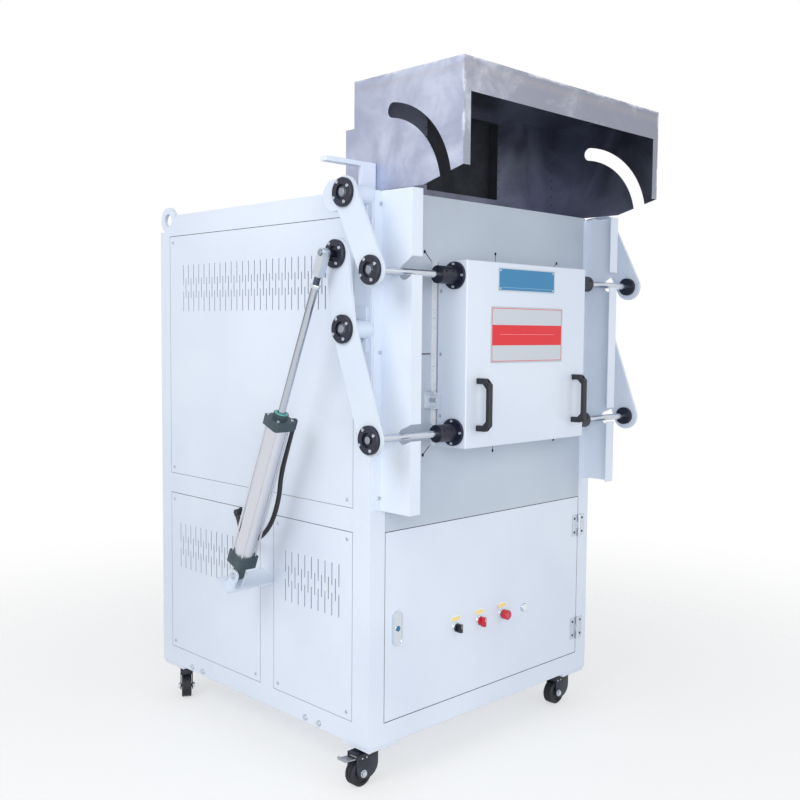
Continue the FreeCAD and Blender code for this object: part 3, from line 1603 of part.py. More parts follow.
def build():
    nodes = {}
    covers = side_covers()
    nodes["frame"] = frame()
    nodes["front_panel"] = front_panel()
    nodes["left_upper_panel"] = covers[0]
    nodes["left_lower_panels"] = group(covers[1:])
    nodes["right_panels"] = group([mirrored(c) for c in covers])
    nodes["rear_panels"] = group(rear_covers())
    nodes["top_cover"] = top_cover()
    nodes["floor_tray"] = floor_tray()
    nodes["cabinet_screws"] = cabinet_screws()
    nodes["mouth_frame"] = group(mouth_frame() + switch_bracket())
    nodes["furnace_case"] = furnace_case()
    nodes["chamber_lining"] = chamber_lining()
    nodes["hearth_plate"] = hearth_plate()
    nodes["heating_elements"] = heating_elements()
    nodes["thermocouple"] = thermocouple()
    nodes["control_gear"] = control_gear()
    nodes["column_guards"] = group(both_sides([column_guard()]))
    nodes["pivot_blocks"] = group(both_sides(pivot_block(upper_pivot) + pivot_block(lower_pivot)))
    nodes["arm_stops"] = group(both_sides(arm_stop()))
    nodes["hood"] = hood()
    nodes["exhaust_duct"] = exhaust_duct()
    nodes["cylinder_bracket"] = cylinder_bracket()
    nodes["bulkhead_fitting"] = bulkhead_fitting()
    nodes["hinge_post_leaves"] = hinge_post_leaves()
    nodes["caster_mounts"] = caster_mounts()
    nodes["door_shell"] = furnace_door_shell()
    nodes["door_plug"] = door_plug()
    handles = [door_handle(handle_mid_x + side * handle_spread / 2) for side in (-1, 1)]
    nodes["door_handles"] = group(handles)
    nodes["door_rods"] = door_rods()
    nodes["door_flanges"] = door_flanges()
    nodes["door_plaques"] = group([door_plaque(badge_mid_x, badge_z, badge_w, badge_h),
                                   door_plaque(notice_mid_x, notice_z, notice_w, notice_h)])
    nodes["upper_arm_left"] = upper_arm_plate()
    nodes["upper_arm_left_flanges"] = upper_arm_flanges()
    nodes["upper_arm_right"] = mirrored(upper_arm_plate())
    nodes["upper_arm_right_flanges"] = mirrored(upper_arm_flanges())
    nodes["lower_arm_left"] = lower_arm_plate(True)
    nodes["lower_arm_left_flanges"] = lower_arm_flanges(True)
    nodes["lower_arm_right"] = mirrored(lower_arm_plate(False))
    nodes["lower_arm_right_flanges"] = mirrored(lower_arm_flanges(False))
    nodes["cylinder_barrel"] = cylinder_barrel()
    nodes["cylinder_caps"] = cylinder_caps()
    nodes["piston_rod"] = piston_rod()
    nodes["rod_end"] = rod_end()
    nodes["air_hose"] = air_hose()
    nodes["lower_door"] = lower_door()
    nodes["hinge_door_leaves"] = hinge_door_leaves()
    nodes["door_fittings"] = door_fittings()
    nodes["lock_barrel"] = lock_barrel()
    nodes["selector_black"] = selector(control_xs[0], 1.0)
    nodes["selector_red"] = selector(control_xs[1], 1.3)
    nodes["stop_button"] = stop_button()
    for corner, place in caster_places().items():
        nodes["fork_" + corner] = turned(caster_fork(corner == braked_corner), place)
        nodes["wheel_" + corner] = turned(caster_wheel(), place)
    nodes["brake_pedal"] = turned(brake_pedal(), caster_places()[braked_corner])
    return nodes


cord_nodes = ("air_hose",)


def footprint_origin(nodes):
    """Centre of the footprint, on the floor, of everything but the hose."""
    whole = Part.makeCompound([s for name, s in nodes.items() if name not in cord_nodes])
    bounds = whole.optimalBoundingBox(False, False)
    return Vector((bounds.XMin + bounds.XMax) / 2, (bounds.YMin + bounds.YMax) / 2, bounds.ZMin)


nodes = build()
origin = footprint_origin(nodes)
os.makedirs("parts", exist_ok=True)
for name, shape in nodes.items():
    placed = shape.copy()
    placed.translate(origin * -1)
    placed.exportStep("parts/" + name + ".step")
print("nodes", len(nodes), "origin", [round(v, 3) for v in origin])
print("linkage", {name: round(value, 4) for name, value in linkage.items()})
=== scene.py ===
import math

import bpy
from mathutils import Matrix, Vector


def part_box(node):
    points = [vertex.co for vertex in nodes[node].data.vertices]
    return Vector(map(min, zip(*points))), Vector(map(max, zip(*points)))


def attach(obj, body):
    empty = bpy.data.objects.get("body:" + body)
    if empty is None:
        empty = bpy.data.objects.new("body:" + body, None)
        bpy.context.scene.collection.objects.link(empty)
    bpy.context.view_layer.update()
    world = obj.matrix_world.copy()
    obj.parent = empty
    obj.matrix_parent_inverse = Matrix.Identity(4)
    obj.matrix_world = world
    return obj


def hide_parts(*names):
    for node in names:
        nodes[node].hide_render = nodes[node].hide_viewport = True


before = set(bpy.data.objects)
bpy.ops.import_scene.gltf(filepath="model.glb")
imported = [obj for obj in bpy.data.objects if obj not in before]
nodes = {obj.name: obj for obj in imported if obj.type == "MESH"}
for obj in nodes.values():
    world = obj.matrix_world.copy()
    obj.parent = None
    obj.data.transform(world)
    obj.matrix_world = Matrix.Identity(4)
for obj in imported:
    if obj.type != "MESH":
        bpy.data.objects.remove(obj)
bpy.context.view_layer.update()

width, depth, height = 1000.0, 1047.0, 1503.0
post_w, post_d, rear_post = 55.0, 70.0, 57.0
mouth_x, mouth_z = 500.0, 1074.0
door_w, door_h, door_front, door_back = 545.0, 514.0, -132.0, -26.0
door_left, door_right = mouth_x - door_w / 2, mouth_x + door_w / 2
pivot_y, upper_pivot_z, lower_pivot_z = 15.5, 1491.0, 1141.0
upper_arm, lower_arm, crank = 227.0, 299.0, 197.0
arm_face = -85.0
flange_face = -96.0
control_z, control_xs = 270.0, (345.0, 450.0, 555.0, 660.0)
lock_x, lock_z = 101.0, 318.0


def at(x, y, z):
    """A place on the cabinet, in metres in the model's frame."""
    return Vector((x - 476.0, y - 396.789, z + 117.0)) / 1000


def swing(pivot_z, radius, angle):
    turn = math.radians(angle)
    return pivot_y - radius * math.sin(turn), pivot_z - radius * math.cos(turn)


upper_rod = swing(upper_pivot_z, upper_arm, math.degrees(math.asin(104.5 / upper_arm)))
lower_rod = swing(lower_pivot_z, lower_arm, math.degrees(math.asin(104.5 / lower_arm)))
crank_pin = swing(lower_pivot_z, crank, 188.7)
base_pin = (427.0, 428.0)
cylinder_lean = math.atan2(base_pin[0] - crank_pin[0], crank_pin[1] - base_pin[1])
rod_length = math.hypot(base_pin[0] - crank_pin[0], crank_pin[1] - base_pin[1])


# Camera, as the photograph was taken

def set_camera():
    data = bpy.data.cameras.new("camera")
    data.sensor_width = 36
    data.lens = 44.582
    data.shift_x, data.shift_y = -0.0045, -0.003
    data.clip_start, data.clip_end = 0.05, 100
    yaw, pitch, roll = math.radians(44.64), math.radians(3.86), math.radians(0.50)
    ahead = Vector((math.sin(yaw) * math.cos(pitch), math.cos(yaw) * math.cos(pitch), -math.sin(pitch)))
    right = Vector((math.cos(yaw), -math.sin(yaw), 0))
    up = right.cross(ahead)
    across = right * math.cos(roll) + up * math.sin(roll)
    above = up * math.cos(roll) - right * math.sin(roll)
    turn = Matrix((across, above, -ahead)).transposed().to_4x4()
    camera = bpy.data.objects.new("camera", data)
    bpy.context.scene.collection.objects.link(camera)
    camera.matrix_world = Matrix.Translation((-2.254, -2.3198, 1.255)) @ turn
    bpy.context.scene.camera = camera


set_camera()


# Finishes. A number that runs through a finish's nodes is a Value, so that plain sums on it
# add the nodes they need.

def paint(red, green, blue):
    """A colour as seen on a screen, in 0 to 255, made linear."""
    def linear(c):
        c = c / 255
        return c / 12.92 if c <= 0.04045 else ((c + 0.055) / 1.055) ** 2.4
    return (linear(red), linear(green), linear(blue), 1.0)


class Value:
    def __init__(self, finish, socket):
        self.finish, self.socket = finish, socket

    def __add__(self, other):
        return self.finish.math("ADD", self, other)

    def __radd__(self, other):
        return self.finish.math("ADD", other, self)

    def __sub__(self, other):
        return self.finish.math("SUBTRACT", self, other)

    def __rsub__(self, other):
        return self.finish.math("SUBTRACT", other, self)

    def __mul__(self, other):
        return self.finish.math("MULTIPLY", self, other)

    def __rmul__(self, other):
        return self.finish.math("MULTIPLY", other, self)

    def __truediv__(self, other):
        return self.finish.math("DIVIDE", self, other)

    def __abs__(self):
        return self.finish.math("ABSOLUTE", self, 0.0)


class Finish:
    """A material for one of the furnace's surfaces, with its slot in the record."""

    def __init__(self, name, slot, color, roughness, metallic=0.0, **surface):
        self.slot = slot
        self.material = bpy.data.materials.new(name)
        self.material.use_nodes = True
        self.tree = self.material.node_tree
        self.shader = self.tree.nodes["Principled BSDF"]
        self.normal = None
        self.surface("Base Color", color)
        self.surface("Roughness", roughness)
        self.surface("Metallic", metallic)
        for key, value in surface.items():
            self.surface(key.replace("_", " ").title().replace("Ior", "IOR"), value)

    def node(self, kind, settings=(), inputs=(), out=0):
        """Any node, from its type, its settings and what goes into its sockets."""
        made = self.tree.nodes.new("ShaderNode" + kind)
        for key, value in dict(settings).items():
            if key == "stops":
                ramp = made.color_ramp
                for place, color in value[2:]:
                    ramp.elements.new(place)
                for element, (place, color) in zip(ramp.elements, sorted(value)):
                    element.position, element.color = place, color
            else:
                setattr(made, key, value)
        for key, value in dict(inputs).items():
            self.feed(made.inputs[key], value)
        return Value(self, made.outputs[out])

    def feed(self, socket, value):
        if isinstance(value, Value):
            self.tree.links.new(value.socket, socket)
        else:
            socket.default_value = value

    def math(self, operation, first, second):
        return self.node("Math", {"operation": operation}, {0: first, 1: second})

    def surface(self, name, value):
        self.feed(self.shader.inputs[name], value)

    def place(self, scale=(1, 1, 1), turn=(0, 0, 0)):
        """Object coordinates in metres, stretched and turned."""
        coords = self.node("TexCoord", out=3)
        if turn != (0, 0, 0):
            coords = self.node("Mapping", inputs={"Vector": coords, "Rotation": turn})
        if scale != (1, 1, 1):
            coords = self.node("Mapping", inputs={"Vector": coords, "Scale": scale})
        return coords

    def along(self, axis):
        return self.node("SeparateXYZ", inputs={0: self.place()}, out="xyz".index(axis))

    def noise(self, scale, detail=2.0, rough=0.5, stretch=(1, 1, 1), turn=(0, 0, 0), warp=0.0):
        return self.node("TexNoise", inputs={"Vector": self.place(stretch, turn), "Scale": scale, "Detail": detail,
                                             "Roughness": rough, "Distortion": warp})

    def cells(self, scale, feature="F1"):
        return self.node("TexVoronoi", {"feature": feature}, {"Vector": self.place(), "Scale": scale})

    def ranged(self, value, low, high, to_low=0.0, to_high=1.0):
        return self.node("MapRange", {"interpolation_type": "SMOOTHSTEP"},
                         {"Value": value, "From Min": low, "From Max": high, "To Min": to_low, "To Max": to_high})

    def mix(self, factor, first, second, blend="MIX"):
        return self.node("Mix", {"data_type": "RGBA", "blend_type": blend}, {0: factor, 6: first, 7: second}, out=2)

    def soft_edges(self, radius):
        """Rolls light round the sharp edges, as a real radius of that size would."""
        self.normal = self.node("Bevel", {"samples": 4}, {"Radius": radius})
        self.surface("Normal", self.normal)

    def edge_mask(self, radius, low=0.02, high=0.3):
        """1 on sharp edges and 0 on flats."""
        rounded = self.node("Bevel", {"samples": 4}, {"Radius": radius})
        flat = self.node("NewGeometry", out=1)
        same = self.node("VectorMath", {"operation": "DOT_PRODUCT"}, {0: rounded, 1: flat}, out=1)
        return self.ranged(1.0 - same, low, high)

    def bump(self, height, distance, strength=1.0):
        inputs = {"Height": height, "Distance": distance, "Strength": strength}
        if self.normal is not None:
            inputs["Normal"] = self.normal
        self.normal = self.node("Bump", inputs=inputs)
        self.surface("Normal", self.normal)


def powder_coat(name, slot, light, dark):
    """Sprayed and baked paint: orange peel, slow waves of the sheet, and faint handling marks."""
    coat = Finish(name, slot, light, 0.4, coat_weight=0.18, coat_roughness=0.18)
    tone = coat.noise(2.3, 3.0)
    speck = coat.noise(260.0, 2.0, 0.6)
    color = coat.mix(coat.ranged(tone, 0.35, 0.65), light, dark)
    coat.surface("Base Color", coat.mix(coat.ranged(speck, 0.66, 0.76) * 0.10, color, dark))
    marks = coat.noise(9.0, 5.0, 0.62, warp=0.4)
    coat.surface("Roughness", coat.ranged(marks, 0.35, 0.7, 0.34, 0.47))
    coat.soft_edges(0.0012)
    coat.bump(coat.noise(3.2, 1.0), 0.004, 0.35)
    coat.bump(coat.noise(620.0, 1.0, 0.4), 0.00010, 0.5)
    return coat


body_paint = powder_coat("body powder coat", "body_paint", paint(228, 236, 248), paint(221, 230, 244))
# The front panel's paint is a darker copy of the body paint: painted shade.
front_paint = powder_coat("front powder coat painted shade", "front_paint", paint(199, 209, 221), paint(190, 201, 214))
arm_paint = powder_coat("arm powder coat", "arm_paint", paint(220, 229, 241), paint(213, 223, 237))


def mill_stainless():
    """Hand-welded stainless sheet: rolled grain, cloudy lilac patches, rubbed welds, and painted shade darkening the
    walls inside.
    """
    steel = Finish("hood stainless", "stainless", paint(182, 188, 208), 0.35, 1.0)
    clouds = steel.noise(5.0, 6.0, 0.62, warp=0.6)
    patches = steel.noise(16.0, 4.0, 0.6, warp=1.2)
    grain = steel.noise(24.0, 3.0, 0.6, stretch=(1.0, 1.0, 22.0))
    x, y, z = steel.along("x"), steel.along("y"), steel.along("z")
    color = steel.mix(steel.ranged(clouds, 0.38, 0.66), paint(162, 168, 192), paint(190, 197, 217))
    color = steel.mix(steel.ranged(patches, 0.50, 0.74) * 0.40, color, paint(150, 155, 182))
    fascia = 1.0 - steel.ranged(y, at(0, -267.6, 0).y, at(0, -266.8, 0).y)
    smudge = steel.ranged(steel.noise(7.0, 5.0, 0.6, warp=0.8), 0.5, 0.72)
    color = steel.mix(fascia, color, steel.mix(smudge * 0.7, paint(132, 136, 150), paint(184, 188, 200)))
    color = steel.mix(grain * 0.18, color, paint(206, 209, 220))
    side = steel.math("MINIMUM", abs(x - at(post_w + 1, 0, 0).x), abs(x - at(width - post_w - 1, 0, 0).x))
    front_edge = abs(y - at(0, -267, 0).y)
    roof_edge = abs(z - at(0, 0, 1812).z)
    upright = steel.math("ADD", side, front_edge)
    level = steel.math("ADD", steel.math("MINIMUM", side, front_edge), roof_edge)
    ragged = (steel.noise(55.0, 3.0, 0.7) - 0.5) * 0.016
    rubbed = (1.0 - steel.ranged(steel.math("MINIMUM", upright, level) + ragged, 0.0, 0.008)) \
        * steel.ranged(steel.noise(13.0, 4.0, 0.6), 0.44, 0.58)
    tint = steel.ranged(roof_edge + ragged, 0.010, 0.020) * (1.0 - steel.ranged(roof_edge + ragged, 0.022, 0.040))
    color = steel.mix(tint * 0.22, color, paint(168, 160, 158))
    color = steel.mix(rubbed * 0.7, color, paint(220, 224, 234))
    # Painted shade: the walls inside the hood get a darker steel colour for the shade that falls in there.
    inside = (1.0 - steel.ranged(abs(x - at(mouth_x, 0, 0).x), 0.4434, 0.4438)) \
        * steel.ranged(y, at(0, -267.2, 0).y, at(0, -266.8, 0).y) \
        * (1.0 - steel.ranged(z, at(0, 0, 1811.8).z, at(0, 0, 1812.2).z)) \
        * (1.0 - steel.ranged(y, at(0, 132.8, 0).y, at(0, 133.2, 0).y))
    inner_shade = steel.mix(steel.ranged(clouds, 0.38, 0.66), paint(100, 104, 118), paint(128, 132, 150))
    inner_shade = steel.mix(grain * 0.2, inner_shade, paint(150, 154, 170))
    steel.surface("Base Color", steel.mix(inside, color, inner_shade))
    steel.surface("Roughness", steel.ranged(clouds, 0.3, 0.7, 0.34, 0.48) + rubbed * 0.12)
    steel.soft_edges(0.0008)
    steel.bump(steel.noise(4.0, 1.0), 0.006, 0.4)
    steel.bump(grain, 0.00015, 0.4)
    return steel


def duct_steel():
    """Galvanised duct stub: spangled outside, near black inside as painted shade."""
    duct = Finish("duct steel", "stainless", paint(158, 164, 172), 0.42, 0.9)
    spangle = duct.cells(42.0)
    duct_shade_noise = duct.noise(12.0, 4.0, 0.6)
    x, y, z = duct.along("x"), duct.along("y"), duct.along("z")
    outer = duct.mix(spangle, paint(146, 152, 160), paint(178, 184, 192))
    # Painted shade: the duct's inner walls are near black, standing for the dark deep inside it.
    inside = (1.0 - duct.ranged(abs(x - at(mouth_x, 0, 0).x), 0.1603, 0.1607)) \
        * (1.0 - duct.ranged(abs(z - at(0, 0, 1672).z), 0.1188, 0.1192)) \
        * (1.0 - duct.ranged(y, at(0, 171.2, 0).y, at(0, 171.8, 0).y))
    painted_duct_shade = duct.mix(duct.ranged(duct_shade_noise, 0.35, 0.7), paint(34, 38, 44), paint(50, 54, 61))
    duct.surface("Base Color", duct.mix(inside, outer, painted_duct_shade))
    duct.surface("Roughness", duct.ranged(spangle, 0.0, 1.0, 0.38, 0.52) + inside * 0.3)
    duct.surface("Metallic", 0.9 - inside * 0.7)
    duct.soft_edges(0.0008)
    return duct


def turned_steel(name, slot, color, roughness, lines, axis):
    """Machined metal with fine tool lines round or along one axis."""
    metal = Finish(name, slot, color, roughness, 1.0)
    stretch = {"x": (lines, 1, 1), "y": (1, lines, 1), "z": (1, 1, lines)}[axis]
    tool = metal.noise(30.0, 2.0, 0.5, stretch=stretch)
    stain = metal.noise(14.0, 4.0, 0.6)
    metal.surface("Base Color", metal.mix(tool * 0.35, color, tuple(c * 0.72 for c in color[:3]) + (1.0,)))
    metal.surface("Roughness", metal.ranged(stain, 0.3, 0.75, roughness, roughness + 0.12))
    metal.soft_edges(0.0006)
    metal.bump(tool, 0.00006, 0.4)
    return metal


stainless = mill_stainless()
rod_steel = turned_steel("ground rod", "bright_steel", paint(204, 210, 220), 0.13, 40.0, "x")
forged_steel = turned_steel("forged eye steel", "satin_steel", paint(152, 160, 172), 0.24, 6.0, "y")
spring_steel = turned_steel("spring steel", "bright_steel", paint(84, 92, 106), 0.30, 12.0, "z")
hinge_steel = turned_steel("hinge stainless", "satin_steel", paint(206, 213, 222), 0.26, 30.0, "z")
satin_steel = turned_steel("satin steel", "satin_steel", paint(198, 205, 215), 0.28, 30.0, "z")
zinc_steel = turned_steel("zinc plated steel", "pedal_metal", paint(168, 172, 178), 0.32, 18.0, "y")
chrome = turned_steel("chromed trim", "lock_alloy", paint(220, 227, 236), 0.12, 8.0, "z")


def blackened(name, slot, color, shine, roughness, edge):
    """Chemically blackened steel: blue-black, oily sheen, bright where an edge is rubbed."""
    black = Finish(name, slot, color, roughness, 0.1, coat_weight=0.10, coat_roughness=0.30)
    cloud = black.noise(45.0, 4.0, 0.6)
    worn = black.edge_mask(0.0011) * black.ranged(black.noise(120.0, 3.0), 0.35, 0.6)
    tone = black.mix(black.ranged(cloud, 0.35, 0.7), color, shine)
    black.surface("Base Color", black.mix(worn * edge, tone, paint(150, 155, 168)))
    black.surface("Roughness", black.ranged(cloud, 0.3, 0.7, roughness, roughness + 0.16))
    black.soft_edges(0.0009)
    black.bump(black.noise(900.0, 1.0), 0.00004, 0.4)
    return black


black_oxide = blackened("blackened flange", "black_oxide", paint(9, 14, 34), paint(16, 23, 48), 0.38, 0.26)
fork_black = blackened("fork enamel", "fork_metal", paint(20, 24, 34), paint(44, 50, 64), 0.40, 0.30)


def cast_grey():
    """Die-cast end caps with a fine sandy skin under dark grey lacquer."""
    cap = Finish("cap lacquer", "cap_grey", paint(58, 72, 80), 0.45, 0.2)
    sand = cap.noise(700.0, 2.0, 0.6)
    tone = cap.noise(30.0, 3.0)
    worn = cap.edge_mask(0.0010)
    color = cap.mix(cap.ranged(tone, 0.3, 0.7), paint(52, 68, 76), paint(66, 82, 90))
    cap.surface("Base Color", cap.mix(worn * 0.25, color, paint(126, 140, 148)))
    cap.surface("Roughness", cap.ranged(sand, 0.3, 0.7, 0.36, 0.52))
    cap.soft_edges(0.0010)
    cap.bump(sand, 0.00008, 0.6)
    return cap


def drawn(name, slot, light, dark, bands, metallic, roughness):
    """Metal on the cylinder's axis, with soft lines along its length: drawing lines on the barrel, and painted
    reflections of light and dark surroundings on the piston rod.
    """
    tube = Finish(name, slot, light, roughness, metallic)
    turn = (-cylinder_lean, 0, 0)
    streaks_and_painted_reflections = tube.noise(1.0, 1.0, 0.4, stretch=(bands, bands, 0.6), turn=turn)
    fine = tube.noise(1.0, 2.0, 0.5, stretch=(bands * 9, bands * 9, 3.0), turn=turn)
    color = tube.mix(tube.ranged(streaks_and_painted_reflections, 0.34, 0.66), light, dark)
    tube.surface("Base Color", tube.mix(fine * 0.15, color, dark))
    tube.surface("Roughness", tube.ranged(fine, 0.3, 0.7, roughness, roughness + 0.06))
    return tube


def moulded(name, slot, color, light, roughness, grain=0.00012, scale=520.0, **surface):
    """Moulded plastic or rubber: fine spark-eroded grain and a slight bloom."""
    part = Finish(name, slot, color, roughness, **surface)
    pits = part.noise(scale, 2.0, 0.6)
    bloom = part.noise(24.0, 4.0, 0.6)
    part.surface("Base Color", part.mix(part.ranged(bloom, 0.45, 0.75), color, light))
    part.surface("Roughness", part.ranged(bloom, 0.3, 0.7, roughness, roughness + 0.10))
    part.soft_edges(0.0007)
    part.bump(pits, grain, 0.6)
    return part


cap_lacquer = cast_grey()
barrel_alloy = drawn("anodised barrel", "barrel_alloy", paint(216, 217, 224), paint(200, 202, 210), 30.0, 0.8, 0.34)
# The piston rod's wide light and dark bands are painted reflections.
piston_steel_painted_reflections = drawn("chromed piston rod painted reflections", "bright_steel", paint(196, 203, 212), paint(108, 116, 128), 110.0, 1.0, 0.14)
black_plastic = moulded("handle nylon", "black_plastic", paint(25, 27, 36), paint(34, 36, 46), 0.42)
red_plastic = moulded("red button", "red_plastic", paint(196, 34, 54), paint(208, 48, 68), 0.26, 0.00003)
# Pale pink for the stop button's painted highlights.
button_highlight_pink = moulded("button painted highlights", "red_plastic", paint(222, 120, 136), paint(230, 136, 150), 0.3, 0.00003)
teal_seal = moulded("wiper seal", "hose_rubber", paint(86, 160, 154), paint(104, 178, 170), 0.38, 0.00005)
hose_rubber = moulded("hose rubber", "hose_rubber", paint(26, 28, 36), paint(40, 42, 52), 0.40, 0.00010, 300.0)
tread_rubber = moulded("tread rubber", "tread", paint(20, 22, 31), paint(34, 37, 48), 0.55, 0.0002, 260.0)
wheel_core = moulded("wheel centre", "tread", paint(44, 47, 56), paint(60, 64, 74), 0.42, 0.00010, 300.0)
lamp_lens = moulded("lamp lens", "lock_alloy", paint(232, 237, 240), paint(240, 244, 246), 0.12, 0.00002)
key_blue = moulded("key disc", "lock_alloy", paint(38, 108, 148), paint(58, 128, 164), 0.30, 0.00002)
# Near-black strips in the cover joints: painted shadow.
gap_shadow_dark = moulded("gap shadow dark", "hose_rubber", paint(38, 42, 50), paint(52, 56, 64), 0.6, 0.00005)
# Near-black sheets and strips in the vent and relief slits: painted shade.
slit_shade_dark = moulded("slit shade dark", "hose_rubber", paint(20, 23, 30), paint(32, 35, 43), 0.9, 0.0003, 300.0)


def fibre_board(name, light, dark, scale):
    """Pressed ceramic fibre: matt, slightly fluffy, with short lay lines and soft dents."""
    board = Finish(name, "fibre", light, 0.95)
    fluff = board.noise(scale, 5.0, 0.75)
    dents = board.noise(28.0, 3.0)
    color = board.mix(board.ranged(fluff, 0.35, 0.7), light, dark)
    board.surface("Base Color", board.mix(board.ranged(dents, 0.5, 0.75) * 0.3, color, paint(214, 204, 186)))
    board.bump(fluff, 0.0008, 0.7)
    board.bump(dents, 0.002, 0.4)
    return board


def fired_block(name, slot, light, dark, glow):
    """Fired refractory with open pores, small chips and iron freckles."""
    block = Finish(name, slot, light, 0.9)
    pores = block.cells(240.0)
    tone = block.noise(18.0, 4.0, 0.65)
    freckle = block.noise(150.0, 2.0)
    color = block.mix(block.ranged(tone, 0.35, 0.68), light, dark)
    color = block.mix(block.ranged(freckle, 0.66, 0.74) * 0.6, color, paint(142, 104, 72))
    block.surface("Base Color", block.mix(block.ranged(pores, 0.02, 0.16, glow, 0.0), color, paint(110, 98, 84)))
    block.bump(block.ranged(pores, 0.02, 0.3), 0.0006, 0.7)
    return block


fibre = fibre_board("ceramic fibre", paint(238, 234, 225), paint(226, 220, 208), 420.0)
hearth = fired_block("fired hearth", "refractory", paint(216, 202, 178), paint(196, 180, 154), 0.5)
element_rod = fired_block("heating rod", "refractory", paint(92, 90, 92), paint(70, 68, 72), 0.2)


def mouth_paint():
    """The painted mouth bars with the white fibre rope that lines their edge beside the door."""
    bars = powder_coat("mouth bars", "body_paint", paint(226, 232, 240), paint(218, 226, 236))
    rope = bars.ranged(bars.noise(70.0, 3.0, 0.6, stretch=(1, 1, 3)), 0.60, 0.70)
    beyond_x = bars.ranged(abs(bars.along("x") - at(mouth_x, 0, 0).x), 0.2705, 0.2712)
    beyond_z = bars.ranged(abs(bars.along("z") - at(0, 0, mouth_z).z), 0.2562, 0.2568)
    within_x = 1.0 - bars.ranged(abs(bars.along("x") - at(mouth_x, 0, 0).x), 0.2717, 0.2722)
    edge = bars.math("MAXIMUM", beyond_x, beyond_z) * within_x
    rope_color = bars.mix(rope, paint(246, 247, 248), paint(196, 200, 206))
    bars.surface("Base Color", bars.mix(edge, bars.mix(bars.noise(2.3), paint(226, 232, 240), paint(218, 226, 236)),
                                        rope_color))
    return bars


def gear_finish():
    """Mixed electrical gear: galvanised plate, dark moulded blocks and a varnished winding."""
    gear = Finish("electrical gear", "gear", paint(150, 152, 155), 0.5, 0.2)
    x, z = gear.along("x"), gear.along("z")
    spangle = gear.cells(70.0)
    moulding = gear.ranged(z, at(0, 0, 315).z, at(0, 0, 318).z) * gear.ranged(x, 0.0, 0.01)
    copper = (1.0 - gear.ranged(x, -0.01, 0.0)) * gear.ranged(z, at(0, 0, 112).z, at(0, 0, 114).z) \
        * (1.0 - gear.ranged(z, at(0, 0, 210).z, at(0, 0, 212).z))
    color = gear.mix(spangle, paint(138, 141, 146), paint(172, 175, 180))
    color = gear.mix(moulding, color, paint(62, 64, 70))
    turns = gear.noise(30.0, 2.0, stretch=(1, 1, 14))
    gear.surface("Base Color", gear.mix(copper, color, gear.mix(turns, paint(140, 74, 40), paint(176, 104, 60))))
    gear.surface("Roughness", gear.ranged(spangle, 0.0, 1.0, 0.38, 0.55))
    gear.soft_edges(0.001)
    gear.bump(turns, 0.0004, 0.4)
    return gear


def printed_plate(name, ground, shade, bands=()):
    """Printed aluminium plate: faint brushing under the ink, and plain bands of colour."""
    plate = Finish(name, "plaque", ground, 0.32, 0.25)
    brush = plate.noise(60.0, 3.0, 0.6, stretch=(0.6, 1, 26.0))
    color = plate.mix(brush, ground, shade)
    z, x = plate.along("z"), plate.along("x")
    for (x0, x1, z0, z1), ink in bands:
        inside = plate.ranged(x, at(x0, 0, 0).x, at(x0 + 0.6, 0, 0).x) \
            * (1.0 - plate.ranged(x, at(x1 - 0.6, 0, 0).x, at(x1, 0, 0).x)) \
            * plate.ranged(z, at(0, 0, z0).z, at(0, 0, z0 + 0.6).z) \
            * (1.0 - plate.ranged(z, at(0, 0, z1 - 0.6).z, at(0, 0, z1).z))
        color = plate.mix(inside, color, ink)
    plate.surface("Base Color", color)
    plate.surface("Roughness", plate.ranged(brush, 0.3, 0.7, 0.28, 0.40))
    plate.bump(brush, 0.00004, 0.4)
    return plate


# Looks of the CAD pieces whose shape is already right

def dress(finish, *names):
    for name in names:
        data = nodes[name].data
        data.materials.clear()
        data.materials.append(finish.material)


dress(body_paint, "frame", "left_upper_panel", "left_lower_panels", "right_panels", "rear_panels", "top_cover",
      "floor_tray", "column_guards", "arm_stops", "lower_door", "door_shell", "furnace_case")
dress(front_paint, "front_panel")
dress(mouth_paint(), "mouth_frame")
dress(arm_paint, "pivot_blocks", "upper_arm_left", "upper_arm_right", "lower_arm_left", "lower_arm_right",
      "cylinder_bracket")
dress(stainless, "hood")
dress(duct_steel(), "exhaust_duct")
dress(rod_steel, "door_rods")
dress(piston_steel_painted_reflections, "piston_rod")
dress(hinge_steel, "hinge_post_leaves", "hinge_door_leaves")
dress(satin_steel, "thermocouple")
dress(black_oxide, "upper_arm_left_flanges", "upper_arm_right_flanges", "lower_arm_left_flanges",
      "lower_arm_right_flanges", "door_flanges")
dress(black_plastic, "bulkhead_fitting")
dress(cap_lacquer, "cylinder_caps")
dress(barrel_alloy, "cylinder_barrel")
dress(fibre, "chamber_lining", "door_plug")
dress(hearth, "hearth_plate")
dress(element_rod, "heating_elements")
dress(gear_finish(), "control_gear")
dress(chrome, "door_fittings", "lock_barrel")
dress(fork_black, "caster_mounts", "fork_front_left", "fork_front_right", "fork_rear_left", "fork_rear_right")
dress(zinc_steel, "brake_pedal")
dress(tread_rubber, "wheel_front_left", "wheel_front_right", "wheel_rear_left", "wheel_rear_right")


# Modelling by hand: every piece starts as a primitive of its size

def only(*pieces):
    bpy.ops.object.select_all(action="DESELECT")
    for piece in pieces:
        piece.select_set(True)
    bpy.context.view_layer.objects.active = pieces[0]
    return pieces[0]


def drum(radius, rise, sides=32, base=0.0):
    """Cylinder in millimetres that stands on its base and rises along Z."""
    bpy.ops.object.select_all(action="DESELECT")
    bpy.ops.mesh.primitive_cylinder_add(vertices=sides, radius=radius / 1000, depth=rise / 1000,
                                        location=(0, 0, (base + rise / 2) / 1000))
    bpy.ops.object.transform_apply(location=True, rotation=True, scale=True)
    return bpy.context.object


